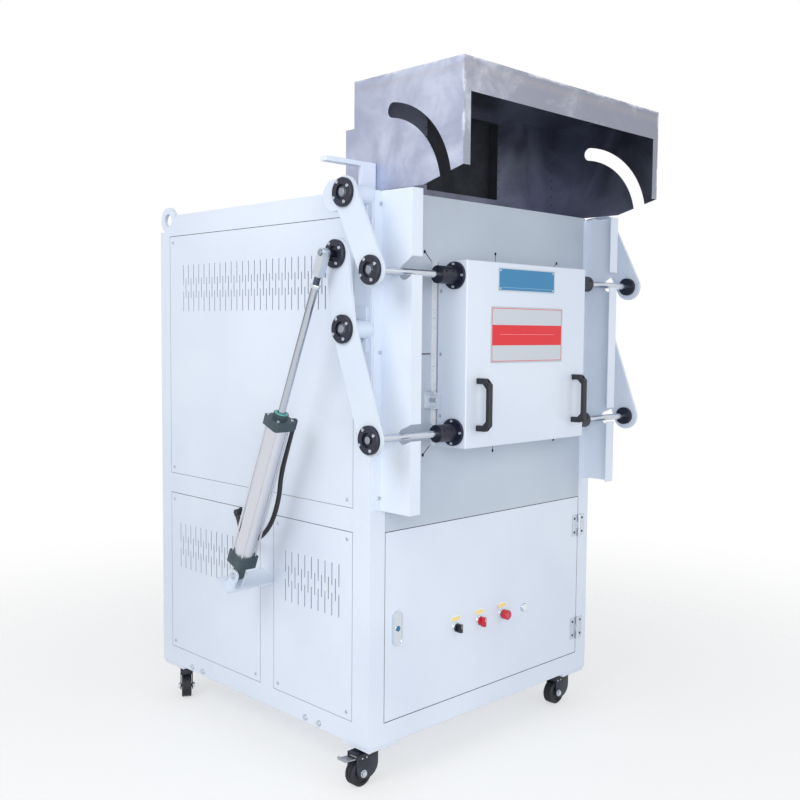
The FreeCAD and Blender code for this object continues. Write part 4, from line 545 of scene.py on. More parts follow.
def block(low, high):
    """Box in millimetres between two corners."""
    bpy.ops.object.select_all(action="DESELECT")
    middle = [(a + b) / 2000 for a, b in zip(low, high)]
    bpy.ops.mesh.primitive_cube_add(size=1, location=middle)
    bpy.context.object.scale = [(b - a) / 1000 for a, b in zip(low, high)]
    bpy.ops.object.transform_apply(location=True, rotation=True, scale=True)
    return bpy.context.object


def hoop(radius, thick, sides=40, ring=8, rise=0.0):
    bpy.ops.object.select_all(action="DESELECT")
    bpy.ops.mesh.primitive_torus_add(major_radius=radius / 1000, minor_radius=thick / 1000, major_segments=sides,
                                     minor_segments=ring, location=(0, 0, rise / 1000))
    bpy.ops.object.transform_apply(location=True, rotation=True, scale=True)
    return bpy.context.object


def opened(piece, kind, wanted):
    """Edit mode with the faces or edges picked that pass a test on their middle and normal or ends."""
    only(piece)
    bpy.ops.object.mode_set(mode="EDIT")
    bpy.ops.mesh.select_mode(type=kind)
    bpy.ops.mesh.select_all(action="DESELECT")
    bpy.ops.object.mode_set(mode="OBJECT")
    mesh = piece.data
    if kind == "FACE":
        for face in mesh.polygons:
            face.select = bool(wanted(face.center * 1000, face.normal))
    else:
        for edge in mesh.edges:
            a, b = (mesh.vertices[i].co * 1000 for i in edge.vertices)
            edge.select = bool(wanted(a, b))
    bpy.ops.object.mode_set(mode="EDIT")


def closed():
    bpy.ops.object.mode_set(mode="OBJECT")


def bevel_where(piece, size, segments, wanted):
    opened(piece, "EDGE", wanted)
    bpy.ops.mesh.bevel(offset=size / 1000, segments=segments, affect="EDGES", clamp_overlap=True)
    closed()
    return piece


def inset_where(piece, size, sink, wanted):
    opened(piece, "FACE", wanted)
    bpy.ops.mesh.inset(thickness=size / 1000, depth=0)
    bpy.ops.mesh.extrude_region_move(TRANSFORM_OT_translate={"value": (0, 0, -sink / 1000)})
    closed()
    return piece


def modified(piece, kind, **settings):
    only(piece)
    modifier = piece.modifiers.new(kind, kind)
    for key, value in settings.items():
        setattr(modifier, key, value)
    bpy.ops.object.modifier_apply(modifier=modifier.name)
    return piece


def cut(piece, tool):
    modified(piece, "BOOLEAN", operation="DIFFERENCE", object=tool, solver="EXACT")
    bpy.data.objects.remove(tool)
    return piece


def joined(*pieces):
    only(*pieces)
    bpy.ops.object.join()
    return bpy.context.object


def facing(point, direction, roll=0.0):
    """Where a piece drawn along Z goes: its foot on a point, its top toward a direction."""
    turn = Vector(direction).to_track_quat("Z", "Y").to_matrix().to_4x4()
    return Matrix.Translation(point) @ turn @ Matrix.Rotation(math.radians(roll), 4, "Z")


def repeated(piece, places):
    """Copies of a piece at each place, as one piece; the pattern itself is used up."""
    copies = []
    for place in places:
        one = piece.copy()
        one.data = piece.data.copy()
        bpy.context.scene.collection.objects.link(one)
        one.matrix_world = place
        copies.append(one)
    bpy.data.objects.remove(piece)
    only(*copies)
    bpy.ops.object.join()
    return bpy.context.object


def fitted(piece, name, body, finish, angle=35.0):
    """Ends a piece: its place goes into its mesh, and it gets its name, finish and body."""
    only(piece)
    bpy.ops.object.transform_apply(location=True, rotation=True, scale=True)
    bpy.ops.object.shade_smooth_by_angle(angle=math.radians(angle))
    piece.name = piece.data.name = name
    piece.data.materials.clear()
    piece.data.materials.append(finish.material)
    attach(piece, body)
    return piece


def mirrored_x(x):
    return width - x


# Screws, bolts and rivets

def pan_head(radius=5.2, rise=2.6):
    """Round head with a raised rim, a deep socket and a cross in its floor."""
    head = drum(radius, rise, 24)
    bevel_where(head, rise * 0.5, 3, lambda a, b: min(a.z, b.z) > rise - 0.01)
    cut(head, drum(radius * 0.48, 3, 16, rise - 1.5))
    for turn in (0, 90):
        slot_tool = block((-radius * 0.62, -0.55, rise - 2.0), (radius * 0.62, 0.55, rise + 1))
        slot_tool.matrix_world = Matrix.Rotation(math.radians(turn), 4, "Z")
        cut(head, slot_tool)
    return head


def cap_head(radius=4.3, rise=3.6):
    """Socket cap screw head."""
    head = drum(radius, rise, 24)
    bevel_where(head, 0.5, 2, lambda a, b: min(a.z, b.z) > rise - 0.01)
    return cut(head, drum(radius * 0.5, 3, 6, rise - 2.4))


def hex_head(across=10.0, rise=4.0, washer=6.6):
    """Hexagon head with its corners turned off, on a washer."""
    head = drum(across / math.sqrt(3), rise, 6, 1.2)
    bevel_where(head, 0.6, 2, lambda a, b: min(a.z, b.z) > rise + 1.19)
    ring = bevel_where(drum(washer, 1.2, 24), 0.3, 2, lambda a, b: min(a.z, b.z) > 1.19)
    return joined(head, ring)


def rivet_head(radius=3.0, rise=1.4):
    return bevel_where(drum(radius, rise, 16), rise * 0.9, 4, lambda a, b: min(a.z, b.z) > rise - 0.01)


side_openings = ((70.0, 990.0, 654.5, 1443.0), (70.0, 424.0, 60.0, 589.0), (490.0, 990.0, 60.0, 589.0))
back_openings = ((57.0, 943.0, 60.0, 589.0), (57.0, 943.0, 654.5, 1399.0))
screw_inset = 22.0


def corner_places(openings):
    for u0, u1, v0, v1 in openings:
        for u in (u0 + screw_inset, u1 - screw_inset):
            for v in (v0 + screw_inset, v1 - screw_inset):
                yield u, v


def panel_screws():
    places = []
    for i, (y, z) in enumerate(corner_places(side_openings)):
        places.append(facing(at(0, y, z), (-1, 0, 0), 17 * i))
        places.append(facing(at(width, y, z), (1, 0, 0), 23 * i))
    for i, (x, z) in enumerate(corner_places(back_openings)):
        places.append(facing(at(x, depth, z), (0, 1, 0), 31 * i))
    for i in range(5):
        z = 688.5 + 195.625 * i
        places.append(facing(at(27, -3, z), (0, -1, 0), 40 * i))
        places.append(facing(at(973, -3, z), (0, -1, 0), 25 * i))
    screws = fitted(repeated(pan_head(), places), "panel_screw_heads", "cabinet", satin_steel)
    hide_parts("cabinet_screws")
    places = []
    for y in (210.0, 271.0, 804.0, 865.0):
        places.append(facing(at(0, y, 15.0), (-1, 0, 0), y))
        places.append(facing(at(width, y, 15.0), (1, 0, 0), y))
    bolts = fitted(repeated(hex_head(13.0, 5.0, 9.0), places), "bottom_rail_bolts", "cabinet", hinge_steel)
    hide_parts("cabinet_screws")


def flange_screw_places(y, z, x, direction, radius=29.0, start=28.0):
    """Four screws round a flange whose face looks along X."""
    places = []
    for i in range(4):
        turn = math.radians(start + 90 * i)
        spot = at(x, y - radius * math.cos(turn), z + radius * math.sin(turn))
        places.append(facing(spot, (direction, 0, 0), 15 + 40 * i))
    return places


def arm_screws():
    arms = {"upper_arm": [(pivot_y, upper_pivot_z), upper_rod], "lower_arm": [(pivot_y, lower_pivot_z), lower_rod]}
    for side, direction in (("left", -1), ("right", 1)):
        x = flange_face if side == "left" else mirrored_x(flange_face)
        for arm, spots in arms.items():
            spots = spots + ([crank_pin] if (arm, side) == ("lower_arm", "left") else [])
            places = [m for y, z in spots for m in flange_screw_places(y, z, x, direction)]
            name = arm + "_" + side
            fitted(repeated(cap_head(), places), name + "_flange_screws", name, satin_steel)


def door_flange_screws():
    places, pinches = [], []
    for side, x, direction in (("left", door_left - 8, -1), ("right", door_right + 8, 1)):
        for y, z in (upper_rod, lower_rod):
            places += flange_screw_places(y, z, x, direction, 30.5, 0.0)
            for reach in (22.0, 50.0):
                spot = at(x + direction * reach, y - 21.5, z + 9.0)
                pinches.append(facing(spot, (0, -0.92, 0.39), reach))
    fitted(repeated(cap_head(), places), "door_flange_screws", "furnace_door", satin_steel)
    fitted(repeated(cap_head(3.6, 3.0), pinches), "door_clamp_screws", "furnace_door", black_oxide)


def retaining_clips():
    """Open spring rings in the flange recesses, with an eyelet at each end."""
    def clip():
        ring = cut(drum(13.8, 0.9, 40), drum(10.6, 3, 40, -1))
        cut(ring, block((-2.2, 8, -1), (2.2, 16, 2)))
        ears = []
        for side in (-1, 1):
            ear = cut(drum(2.4, 0.9, 16), drum(0.9, 3, 10, -1))
            ear.matrix_world = Matrix.Translation((side * 0.0040, 0.0138, 0))
            ears.append(ear)
        return joined(ring, *ears)
    spots = {"cabinet": [(pivot_y, upper_pivot_z), (pivot_y, lower_pivot_z)], "furnace_door": [upper_rod]}
    for body, places in spots.items():
        where = []
        for i, (y, z) in enumerate(places):
            where.append(facing(at(-91.9, y, z), (-1, 0, 0), 40 + 75 * i))
            where.append(facing(at(mirrored_x(-91.9), y, z), (1, 0, 0), 140 + 75 * i))
        fitted(repeated(clip(), where), body + "_retaining_clips", body, spring_steel)


def shaft_ends():
    """Chamfered ends of the shafts inside the flange recesses, each with a centre mark."""
    spots = {"cabinet": ((-1, pivot_y, upper_pivot_z), (-1, pivot_y, lower_pivot_z),
                         (1, pivot_y, upper_pivot_z), (1, pivot_y, lower_pivot_z)),
             "furnace_door": ((-1, *upper_rod), (1, *upper_rod)),
             "lower_arm_left": ((-1, *lower_rod),), "lower_arm_right": ((1, *lower_rod),)}
    for body, places in spots.items():
        end = drum(9.9, 0.8, 40)
        bevel_where(end, 0.7, 2, lambda a, b: min(a.z, b.z) > 0.79)
        cut(end, drum(1.6, 2, 16, 0.3))
        where = []
        for direction, y, z in places:
            x = -93.95 if direction < 0 else mirrored_x(-93.95)
            where.append(facing(at(x, y, z), (direction, 0, 0)))
        fitted(repeated(end, where), body + "_shaft_ends", body, forged_steel)


def pivot_bolts():
    """Bolts that hold the pivot plates on the posts."""
    places = []
    for x, direction in ((-8.0, -1), (mirrored_x(-8.0), 1)):
        for pivot_z in (upper_pivot_z, lower_pivot_z):
            for y, rise in ((48.0, 22.0), (29.0, -29.0)):
                places.append(facing(at(x, y, pivot_z + rise), (direction, 0, 0), y))
    fitted(repeated(hex_head(), places), "pivot_plate_bolts", "cabinet", satin_steel)


# Furnace door

def door_handles():
    """Bridge handles of moulded nylon, hollow at the chamfered ends."""
    places = [at(x, door_front, 937.0) for x in (277.5, 717.5)]
    half, stand, thick = 73.0, 48.0, 16.0
    grip = block((-thick / 2, -stand, -half), (thick / 2, 0, half))
    bevel_where(grip, thick, 1, lambda a, b: abs(a.z) > half - 0.1 and abs(b.z) > half - 0.1
                and a.y < -stand + 0.1 and b.y < -stand + 0.1 and a.z * b.z > 0)
    inside = block((-thick, -stand + 12.8, -half + thick), (thick, 2, half - thick))
    bevel_where(inside, 12.8, 1, lambda a, b: abs(a.z) > half - thick - 0.1 and abs(b.z) > half - thick - 0.1
                and a.y < -stand + 13 and b.y < -stand + 13 and a.z * b.z > 0)
    cut(grip, inside)
    modified(grip, "BEVEL", width=0.0022, segments=3, limit_method="ANGLE", angle_limit=math.radians(30))
    for end in (-1, 1):
        well = bevel_where(block((-4.6, -4.6, -3), (4.6, 4.6, 3)), 1.6, 2, lambda a, b: abs(a.z - b.z) > 1)
        well.matrix_world = Matrix.Translation((0, -0.040, end * 0.065)) @ Matrix.Rotation(end * math.radians(45), 4, "X")
        cut(grip, well)
    grips = repeated(grip, [Matrix.Translation(p) for p in places])
    fitted(grips, "bridge_handles", "furnace_door", black_plastic)
    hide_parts("door_handles")


def name_plates():
    """The blue badge plate and the notice plate, kept plain, with their rivets."""
    face = door_front - 1.5
    badge_x, badge_z, notice_x, notice_z = 486.0, 1284.0, 492.0, 1129.0
    corners = lambda a, b: abs(a.y - b.y) > 0.5
    badge = bevel_where(block((-129, -1.5, -33), (129, 0, 33)), 4, 4, corners)
    badge.matrix_world = Matrix.Translation(at(badge_x, door_front, badge_z))
    silver, blue = paint(206, 214, 222), paint(58, 132, 178)
    b = (badge_x - 129, badge_x + 129, badge_z - 33, badge_z + 33)
    inner = ((b[0] + 3, b[1] - 3, b[2] + 3, b[3] - 3), blue)
    line = ((b[0] + 14, b[1] - 14, b[2] + 10, b[2] + 11.6), paint(150, 190, 214))
    fitted(badge, "badge_plate", "furnace_door", printed_plate("badge ink", silver, paint(192, 200, 210),
                                                                [inner, line]))
    notice = bevel_where(block((-164, -1.5, -79), (164, 0, 79)), 4, 4, corners)
    notice.matrix_world = Matrix.Translation(at(notice_x, door_front, notice_z))
    n = (notice_x - 164, notice_x + 164, notice_z - 79, notice_z + 79)
    red, white = paint(226, 48, 58), paint(204, 210, 218)
    frame_band = ((n[0] + 4, n[1] - 4, n[2] + 4, n[3] - 4), red)
    field = ((n[0] + 5.6, n[1] - 5.6, n[2] + 5.6, n[3] - 5.6), white)
    band = ((n[0] + 5.6, n[1] - 5.6, notice_z - 30, notice_z + 28), red)
    rule = ((n[0] + 40, n[1] - 40, notice_z + 0.6, notice_z + 1.8), paint(244, 196, 198))
    fitted(notice, "notice_plate", "furnace_door",
           printed_plate("notice ink", paint(198, 204, 212), paint(186, 193, 203), [frame_band, field, band, rule]))
    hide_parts("door_plaques")
    rivets = [(badge_x + sx * 120, badge_z + sz * 25) for sx in (-1, 1) for sz in (-1, 1)]
    rivets += [(notice_x + sx * 154, notice_z + sz * 70) for sx in (-1, 1) for sz in (-1, 1)]
    places = [facing(at(x, face, z), (0, -1, 0)) for x, z in rivets]
    fitted(repeated(rivet_head(), places), "plate_rivets", "furnace_door", satin_steel)


def door_side_screws():
    places = []
    for x, direction in ((door_left, -1), (door_right, 1)):
        for z in (1248.0, 1074.0, 903.0):
            places.append(facing(at(x, -38.0, z), (direction, 0, 0), z))
    fitted(repeated(pan_head(5.0, 2.2), places), "door_side_screws", "furnace_door", satin_steel)


def bracket_bolts():
    places = [facing(at(216.5, y, 945.5), (-1, 0, 0), 70 * y) for y in (-13.3, -26.6)]
    fitted(repeated(hex_head(9.0, 3.0, 6.0), places), "switch_bracket_bolts", "cabinet", satin_steel)


# Air cylinder, drawn upright from its base pin

def leaned(along=0.0, x=0.0, y=0.0):
    """Where a piece goes that stands on the cylinder's axis, some way up from the base pin."""
    foot = Matrix.Translation(at(-125.0, *base_pin)) @ Matrix.Rotation(cylinder_lean, 4, "X")
    return foot @ Matrix.Translation(Vector((x, y, along)) / 1000)


def cylinder_details():
    ties = [(sx * 23.25, sy * 23.25) for sx in (-1, 1) for sy in (-1, 1)]
    places = [leaned(510.0, x, y) @ Matrix.Rotation(0.4 * x, 4, "Z") for x, y in ties]
    places += [leaned(38.0, x, y) @ Matrix.Rotation(math.pi, 4, "X") for x, y in ties]
    fitted(repeated(cap_head(4.4, 3.4), places), "cylinder_tie_screws", "cylinder", satin_steel)
    wiper = joined(hoop(17.2, 2.0, rise=0.6), cut(drum(17.0, 2.2, 40), drum(11.4, 6, 40, -2)))
    wiper.matrix_world = leaned(524.0)
    fitted(wiper, "wiper_ring", "cylinder", teal_seal)
    collar = bevel_where(drum(12.4, 4, 6), 0.6, 2, lambda a, b: min(a.z, b.z) > 3.9)
    collar.matrix_world = leaned(496.0, 32.5, 0) @ Matrix.Rotation(math.pi / 2, 4, "Y")
    fitted(collar, "port_elbow_nut", "cylinder", satin_steel)


def rod_fork():
    """Fork head on the piston rod with its thread, lock nut and pin; drawn down from the pin's centre."""
    head = block((-12.5, -12.5, -62), (11, 12.5, 0))
    dome = drum(12.5, 23.5, 48, -12.5)
    dome.matrix_world = Matrix.Rotation(math.pi / 2, 4, "Y")
    modified(head, "BOOLEAN", operation="UNION", object=dome, solver="EXACT")
    bpy.data.objects.remove(dome)
    modified(head, "BEVEL", width=0.0022, segments=3, limit_method="ANGLE", angle_limit=math.radians(40))
    nut = bevel_where(drum(24 / math.sqrt(3), 11, 6, -97), 1.4, 2, lambda a, b: min(a.z, b.z) > -86.1 or max(a.z, b.z) < -96.9)
    collar = bevel_where(drum(11.5, 3, 40, -65), 0.8, 2, lambda a, b: max(a.z, b.z) < -64.9)
    fork = joined(head, nut, collar)
    fork.matrix_world = leaned(rod_length)
    fitted(fork, "rod_fork", "piston", hinge_steel)
    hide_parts("rod_end")
    thread = joined(drum(8.2, 24, 32, -87), *[hoop(8.2, 0.8, 24, 6, -84.5 + 2.4 * i) for i in range(8)])
    thread.matrix_world = leaned(rod_length)
    fitted(thread, "rod_thread", "piston", spring_steel)
    pin = bevel_where(drum(7.6, 4.6, 40, 12.4), 1.2, 3, lambda a, b: min(a.z, b.z) > 16.9)
    clip = hoop(8.6, 0.8, 40, 8, 12.9)
    pin = joined(pin, clip)
    pin.matrix_world = leaned(rod_length) @ Matrix.Rotation(-math.pi / 2, 4, "Y")
    fitted(pin, "rod_pin_head", "piston", forged_steel)


def base_pin_heads():
    head = bevel_where(drum(8.6, 3.0, 32), 0.8, 2, lambda a, b: min(a.z, b.z) > 2.9)
    inset_where(head, 2.4, 0.8, lambda c, n: n.z > 0.9 and c.z > 2.9)
    y, z = base_pin
    places = [facing(at(-125 - 20.3, y, z), (-1, 0, 0)), facing(at(-125 + 20.3, y, z), (1, 0, 0))]
    fitted(repeated(head, places), "base_pin_heads", "cabinet", satin_steel)


def air_hose():
    points = [(-18, 583.75, 566.907), (-18, 576.7, 554.7), (-23.9, 558.5, 527.8), (-33.3, 528.2, 510.2),
              (-42.9, 485.4, 509.0), (-52, 446, 516.6), (-60.3, 400.2, 536), (-65.7, 360, 567.1),
              (-68.4, 329.1, 608), (-70.3, 304.2, 668.8), (-70.5, 297, 728), (-70.5, 262.6, 818.8),
              (-70.5, 244.0, 863.1)]
    points = [at(*p) for p in points]
    data = bpy.data.curves.new("air_hose_line", "CURVE")
    data.dimensions = "3D"
    data.bevel_depth = 0.007
    data.bevel_resolution = 5
    data.resolution_u = 10
    line = data.splines.new("NURBS")
    line.points.add(len(points) - 1)
    for knot, point in zip(line.points, points):
        knot.co = (*point, 1.0)
    line.order_u = 3
    line.use_endpoint_u = True
    data.materials.append(hose_rubber.material)
    hose = bpy.data.objects.new("air_hose_line", data)
    bpy.context.scene.collection.objects.link(hose)
    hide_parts("air_hose")
    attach(hose, "cylinder")


# Lower door hardware

def hinge_screws():
    screw = bevel_where(drum(4.2, 1.0, 20), 0.5, 2, lambda a, b: min(a.z, b.z) > 0.9)
    cut(screw, block((-2.6, -0.5, 0.3), (2.6, 0.5, 2)))
    cut(screw, block((-0.5, -2.6, 0.3), (0.5, 2.6, 2)))
    doors, posts = [], []
    for z in (110.0, 459.0):
        for rise in (13.0, 59.0):
            doors.append(facing(at(945 - 21, -2.5, z + rise), (0, -1, 0), rise))
            posts.append(facing(at(945 + 21, -2.5, z + rise), (0, -1, 0), 3 * rise))
    spare = screw.copy()
    spare.data = screw.data.copy()
    bpy.context.scene.collection.objects.link(spare)
    fitted(repeated(screw, doors), "hinge_door_screws", "lower_door", spring_steel)
    fitted(repeated(spare, posts), "hinge_post_screws", "cabinet", spring_steel)


def control_trim():
    """Bezel rings, labels, the lamp's lens and the lock's key disc."""
    bezel = joined(hoop(13.2, 1.5, 40, 10, 4.0), hoop(15.0, 0.8, 40, 8, 0.8))
    places = [facing(at(x, 0, control_z), (0, -1, 0)) for x in control_xs[:3]]
    fitted(repeated(bezel, places), "control_bezels", "lower_door", chrome)
    dome = drum(11.3, 3.2, 40)
    bevel_where(dome, 2.6, 5, lambda a, b: min(a.z, b.z) > 3.1)
    dome.matrix_world = facing(at(control_xs[3], -8.6, control_z), (0, -1, 0))
    fitted(dome, "lamp_lens", "lower_door", lamp_lens)
    collar = cut(drum(14.2, 4.6, 40), drum(11.6, 9, 40, -2))
    bevel_where(collar, 0.9, 3, lambda a, b: min(a.z, b.z) > 4.5)
    collar.matrix_world = facing(at(control_xs[3], 0, control_z), (0, -1, 0))
    fitted(collar, "lamp_collar", "lower_door", chrome)
    bands = [((x - 17.5, x + 17.5, control_z + 20.2, control_z + 31.8), paint(250, 228, 150)) for x in control_xs[:3]]
    label_film = printed_plate("label film", paint(246, 246, 244), paint(238, 239, 238), bands)
    for i, x in enumerate(control_xs[:3]):
        label = bevel_where(block((-19.5, -1.15, -8.3), (19.5, -0.1, 8.3)), 1.4, 3, lambda a, b: abs(a.y - b.y) > 0.5)
        label.matrix_world = Matrix.Translation(at(x, 0, control_z + 26.0))
        fitted(label, "control_label_%d" % (i + 1), "lower_door", label_film)
    key = drum(7.6, 1.4, 32)
    bevel_where(key, 0.5, 2, lambda a, b: min(a.z, b.z) > 1.3)
    cut(key, block((-0.7, -4.2, 0.3), (0.7, 4.2, 3)))
    key.matrix_world = facing(at(lock_x, -7.0, lock_z), (0, -1, 0), 90)
    fitted(key, "lock_key_disc", "lock", key_blue)
    rim = bevel_where(block((-18, -6.9, -49.5), (18, -6.0, 49.5)), 17.8, 10, lambda a, b: abs(a.y - b.y) > 0.5)
    inner = bevel_where(block((-15, -9, -46.5), (15, -5, 46.5)), 14.8, 10, lambda a, b: abs(a.y - b.y) > 0.5)
    cut(rim, inner)
    rim.matrix_world = Matrix.Translation(at(lock_x, 0, lock_z))
    fitted(rim, "lock_plate_rim", "lower_door", chrome)


def selectors():
    for name, x, tail, finish in (("selector_black", control_xs[0], 1.0, black_plastic),
                                  ("selector_red", control_xs[1], 1.0, red_plastic)):
        dress(finish, name)
        mark = bevel_where(block((-0.7, -1, 20), (0.7, 11, 20.25)), 0.08, 1, lambda a, b: min(a.z, b.z) > 20.2)
        mark.matrix_world = facing(at(x, -4.3, control_z), (0, -1, 0))
        fitted(mark, name + "_line", name, lamp_lens)
    dress(red_plastic, "stop_button")
    low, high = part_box("stop_button")
    radius = (high[0] - low[0]) * 500
    # Painted highlights: pale pink hoops on the stop button's ring and centre.
    rings = joined(hoop(radius * 0.62, 0.8, 40, 8, 0.1), hoop(radius * 0.2, 0.9, 24, 8, 0.1))
    rings.matrix_world = facing(Vector(((low[0] + high[0]) / 2, low[1], at(0, 0, control_z).z)), (0, -1, 0))
    fitted(rings, "stop_button_highlights", "stop_button", button_highlight_pink)


# Casters

caster_in = 55.0
casters = {"front_left": (caster_in, caster_in, 180.0), "front_right": (width - caster_in, caster_in, 180.0),
           "rear_left": (caster_in, depth - caster_in, 238.0), "rear_right": (width - caster_in, depth - caster_in, 130.0)}
axle_z = -79.5
trail = 42.0


def caster_frame(corner):
    x, y, heading = casters[corner]
    return Matrix.Translation(at(x, y, 0)) @ Matrix.Rotation(math.radians(heading), 4, "Z")


def caster_forks():
    """Pressed forks: round-cornered cheeks, crown and front lip, with the axle and the pedal's pin."""
    for corner in casters:
        braked = corner == "front_left"
        reach, curve = (66, 34) if braked else (55, 22)
        pieces = [drum(32, 4, 48, -24.3), block((-4, -20.6, -24.3), (reach - 1, 20.6, -20.3))]
        for side in (-1, 1):
            near, far = sorted((side * 17.4, side * 20.6))
            cheek = block((-13, near, -97), (reach, far, -20.3))
            bevel_where(cheek, 38, 10, lambda a, b: abs(a.y - b.y) > 1 and a.x < -12.9 and a.z < -96.9)
            bevel_where(cheek, curve, 8, lambda a, b: abs(a.y - b.y) > 1 and a.x > reach - 0.1 and a.z < -96.9)
            pieces.append(cheek)
        across = Matrix.Rotation(-math.pi / 2, 4, "X")
        axle = drum(5, 41, 24, -20.5)
        axle.matrix_world = Matrix.Translation((trail / 1000, 0, axle_z / 1000)) @ across
        pieces.append(axle)
        if braked:
            pin = drum(3, 42.4, 20, -21.2)
            pin.matrix_world = Matrix.Translation((0.056, 0, -0.0343)) @ across
            pieces.append(pin)
        else:
            pieces.append(block((reach - 4, -20.6, -40), (reach - 1, 20.6, -20.3)))
        fork = joined(*pieces)
        modified(fork, "BEVEL", width=0.0009, segments=2, limit_method="ANGLE", angle_limit=math.radians(50))
        fork.matrix_world = caster_frame(corner)
        fitted(fork, "caster_fork_" + corner, "fork_" + corner, fork_black)
        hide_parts("fork_" + corner)


def caster_details():
    for corner in casters:
        place = caster_frame(corner)
        hub = cut(drum(13.2, 1.6, 32), drum(7.0, 6, 24, -2))
        bevel_where(hub, 0.6, 2, lambda a, b: min(a.z, b.z) > 1.5)
        rim = hoop(25.6, 1.1, 48, 8)
        disc = joined(hub, rim)
        spots = []
        for side in (-1, 1):
            spots.append(place @ Matrix.Translation(Vector((trail, side * 12.0, axle_z)) / 1000)
                         @ Vector((0, side, 0)).to_track_quat("Z", "Y").to_matrix().to_4x4())
        fitted(repeated(disc, spots), "wheel_rims_" + corner, "wheel_" + corner, wheel_core)
        spots = []
        for side in (-1, 1):
            for x, z in ((30.0, -36.0), (46.0, -36.0)):
                spots.append(place @ Matrix.Translation(Vector((x, side * 20.5, z)) / 1000)
                             @ Vector((0, side, 0)).to_track_quat("Z", "Y").to_matrix().to_4x4())
        fitted(repeated(rivet_head(2.6, 1.2), spots), "fork_rivets_" + corner, "fork_" + corner, satin_steel)
        spots = []
        for side in (-1, 1):
            spots.append(place @ Matrix.Translation(Vector((trail, side * 20.6, axle_z)) / 1000)
                         @ Vector((0, side, 0)).to_track_quat("Z", "Y").to_matrix().to_4x4())
        nut = joined(bevel_where(drum(8.9, 6.4, 6), 1.0, 2, lambda a, b: min(a.z, b.z) > 6.3),
                     bevel_where(drum(10.8, 1.6, 32), 0.5, 2, lambda a, b: min(a.z, b.z) > 1.5))
        fitted(repeated(nut, spots), "axle_nuts_" + corner, "fork_" + corner, hinge_steel)
    plates = []
    for x, y, _ in casters.values():
        for sx in (-1, 1):
            for sy in (-1, 1):
                plates.append(facing(at(x + sx * 35, y + sy * 35, -15.0), (0, 0, -1), 20))
    fitted(repeated(hex_head(10.0, 4.0, 6.6), plates), "caster_plate_bolts", "cabinet", satin_steel)


# Joints and vents of the covers, with painted shade in their gaps and slits

def strip(low, high):
    return modified(block(low, high), "BEVEL", width=0.0001, segments=1, limit_method="ANGLE")


def both_sides(low, high):
    """The same strip on the left and on the right side."""
    return [strip(low, high), strip((width - high[0], *low[1:]), (width - low[0], *high[1:]))]


def gap_shadow_strips():
    """Dark strips in the joints round the flush covers, under the lid and round the lower door: painted shadow in the
    gaps.
    """
    strips = []
    for y0, y1, z0, z1 in side_openings:
        for a, b, c, d in ((y0, y1, z1 - 1.5, z1 + 0.3), (y0, y1, z0, z0 + 1), (y0, y0 + 1, z0, z1), (y1 - 1, y1, z0, z1)):
            strips += both_sides((-0.15, a, c), (0.8, b, d))
    for x0, x1, z0, z1 in back_openings:
        for a, b, c, d in ((x0, x1, z1 - 1, z1), (x0, x1, z0, z0 + 1), (x0, x0 + 1, z0, z1), (x1 - 1, x1, z0, z1)):
            strips.append(strip((a, depth - 0.8, c), (b, depth + 0.15, d)))
    for a, b, c, d in ((55.1, 56.4, 61, 590), (943.6, 944.9, 61, 590), (56, 944, 60.1, 61.8), (56, 944, 590.1, 591.8)):
        strips.append(strip((a, -0.3, c), (b, 1.9, d)))
    gap_shadows = joined(*strips)
    gap_shadows.matrix_world = Matrix.Translation(at(0, 0, 0))
    fitted(gap_shadows, "gap_shadow_strips", "cabinet", gap_shadow_dark)


def vent_shade_sheets():
    """Near-black sheets behind the slits of the side covers: painted shade in the slits."""
    shade_sheets = []
    for y0, y1, z0, z1 in ((165, 935, 1183, 1358), (108, 386, 328, 503), (556, 952, 328, 503)):
        shade_sheets += both_sides((2.2, y0, z0), (4.2, y1, z1))
    vent_shades = joined(*shade_sheets)
    vent_shades.matrix_world = Matrix.Translation(at(0, 0, 0))
    fitted(vent_shades, "vent_shade_sheets", "cabinet", slit_shade_dark)


def relief_slit_shade():
    """Near-black strips at the bottom of the relief slits round the mouth, with discs at their ends: painted shade in
    the slits.
    """
    half_w, half_h = 271.5, 257.0
    runs = []
    for side in (-1, 1):
        for up in (-1, 1):
            runs.append(((mouth_x + side * (half_w + 2), mouth_z + up * (half_h + 1.5)),
                         (mouth_x + side * (half_w + 30.0), mouth_z + up * (half_h + 25.5))))
        runs.append(((mouth_x + side * (half_w + 2), mouth_z), (mouth_x + side * (half_w + 41.0), mouth_z)))
        runs.append(((mouth_x, mouth_z + side * (half_h + 2)), (mouth_x, mouth_z + side * (half_h + 37.0))))
    pieces = []
    for (x0, z0), (x1, z1) in runs:
        long = math.hypot(x1 - x0, z1 - z0)
        line = strip((0, -0.9, -1.4), (long, 0, 1.4))
        line.matrix_world = Matrix.Translation(at(x0, 1.95, z0)) @ Matrix.Rotation(-math.atan2(z1 - z0, x1 - x0), 4, "Y")
        knob = drum(4.7, 0.9, 20)
        knob.matrix_world = facing(at(x1, 1.95, z1), (0, -1, 0))
        pieces += [line, knob]
    fitted(joined(*pieces), "relief_slit_shade", "cabinet", slit_shade_dark)


def tack_welds():
    """Dark tacks down the flue opening's edge and the hood's back corners."""
    tack = rivet_head(2.4, 1.2)
    places = []
    for i in range(9):
        z = 1562.0 + 27.5 * i
        for x in (336.5, 663.5, 58.5, 941.5):
            places.append(facing(at(x, 131.9, z + (x * 7) % 9), (0, -1, 0)))
    fitted(repeated(tack, places), "hood_tack_welds", "cabinet", black_oxide)


# Weld beads

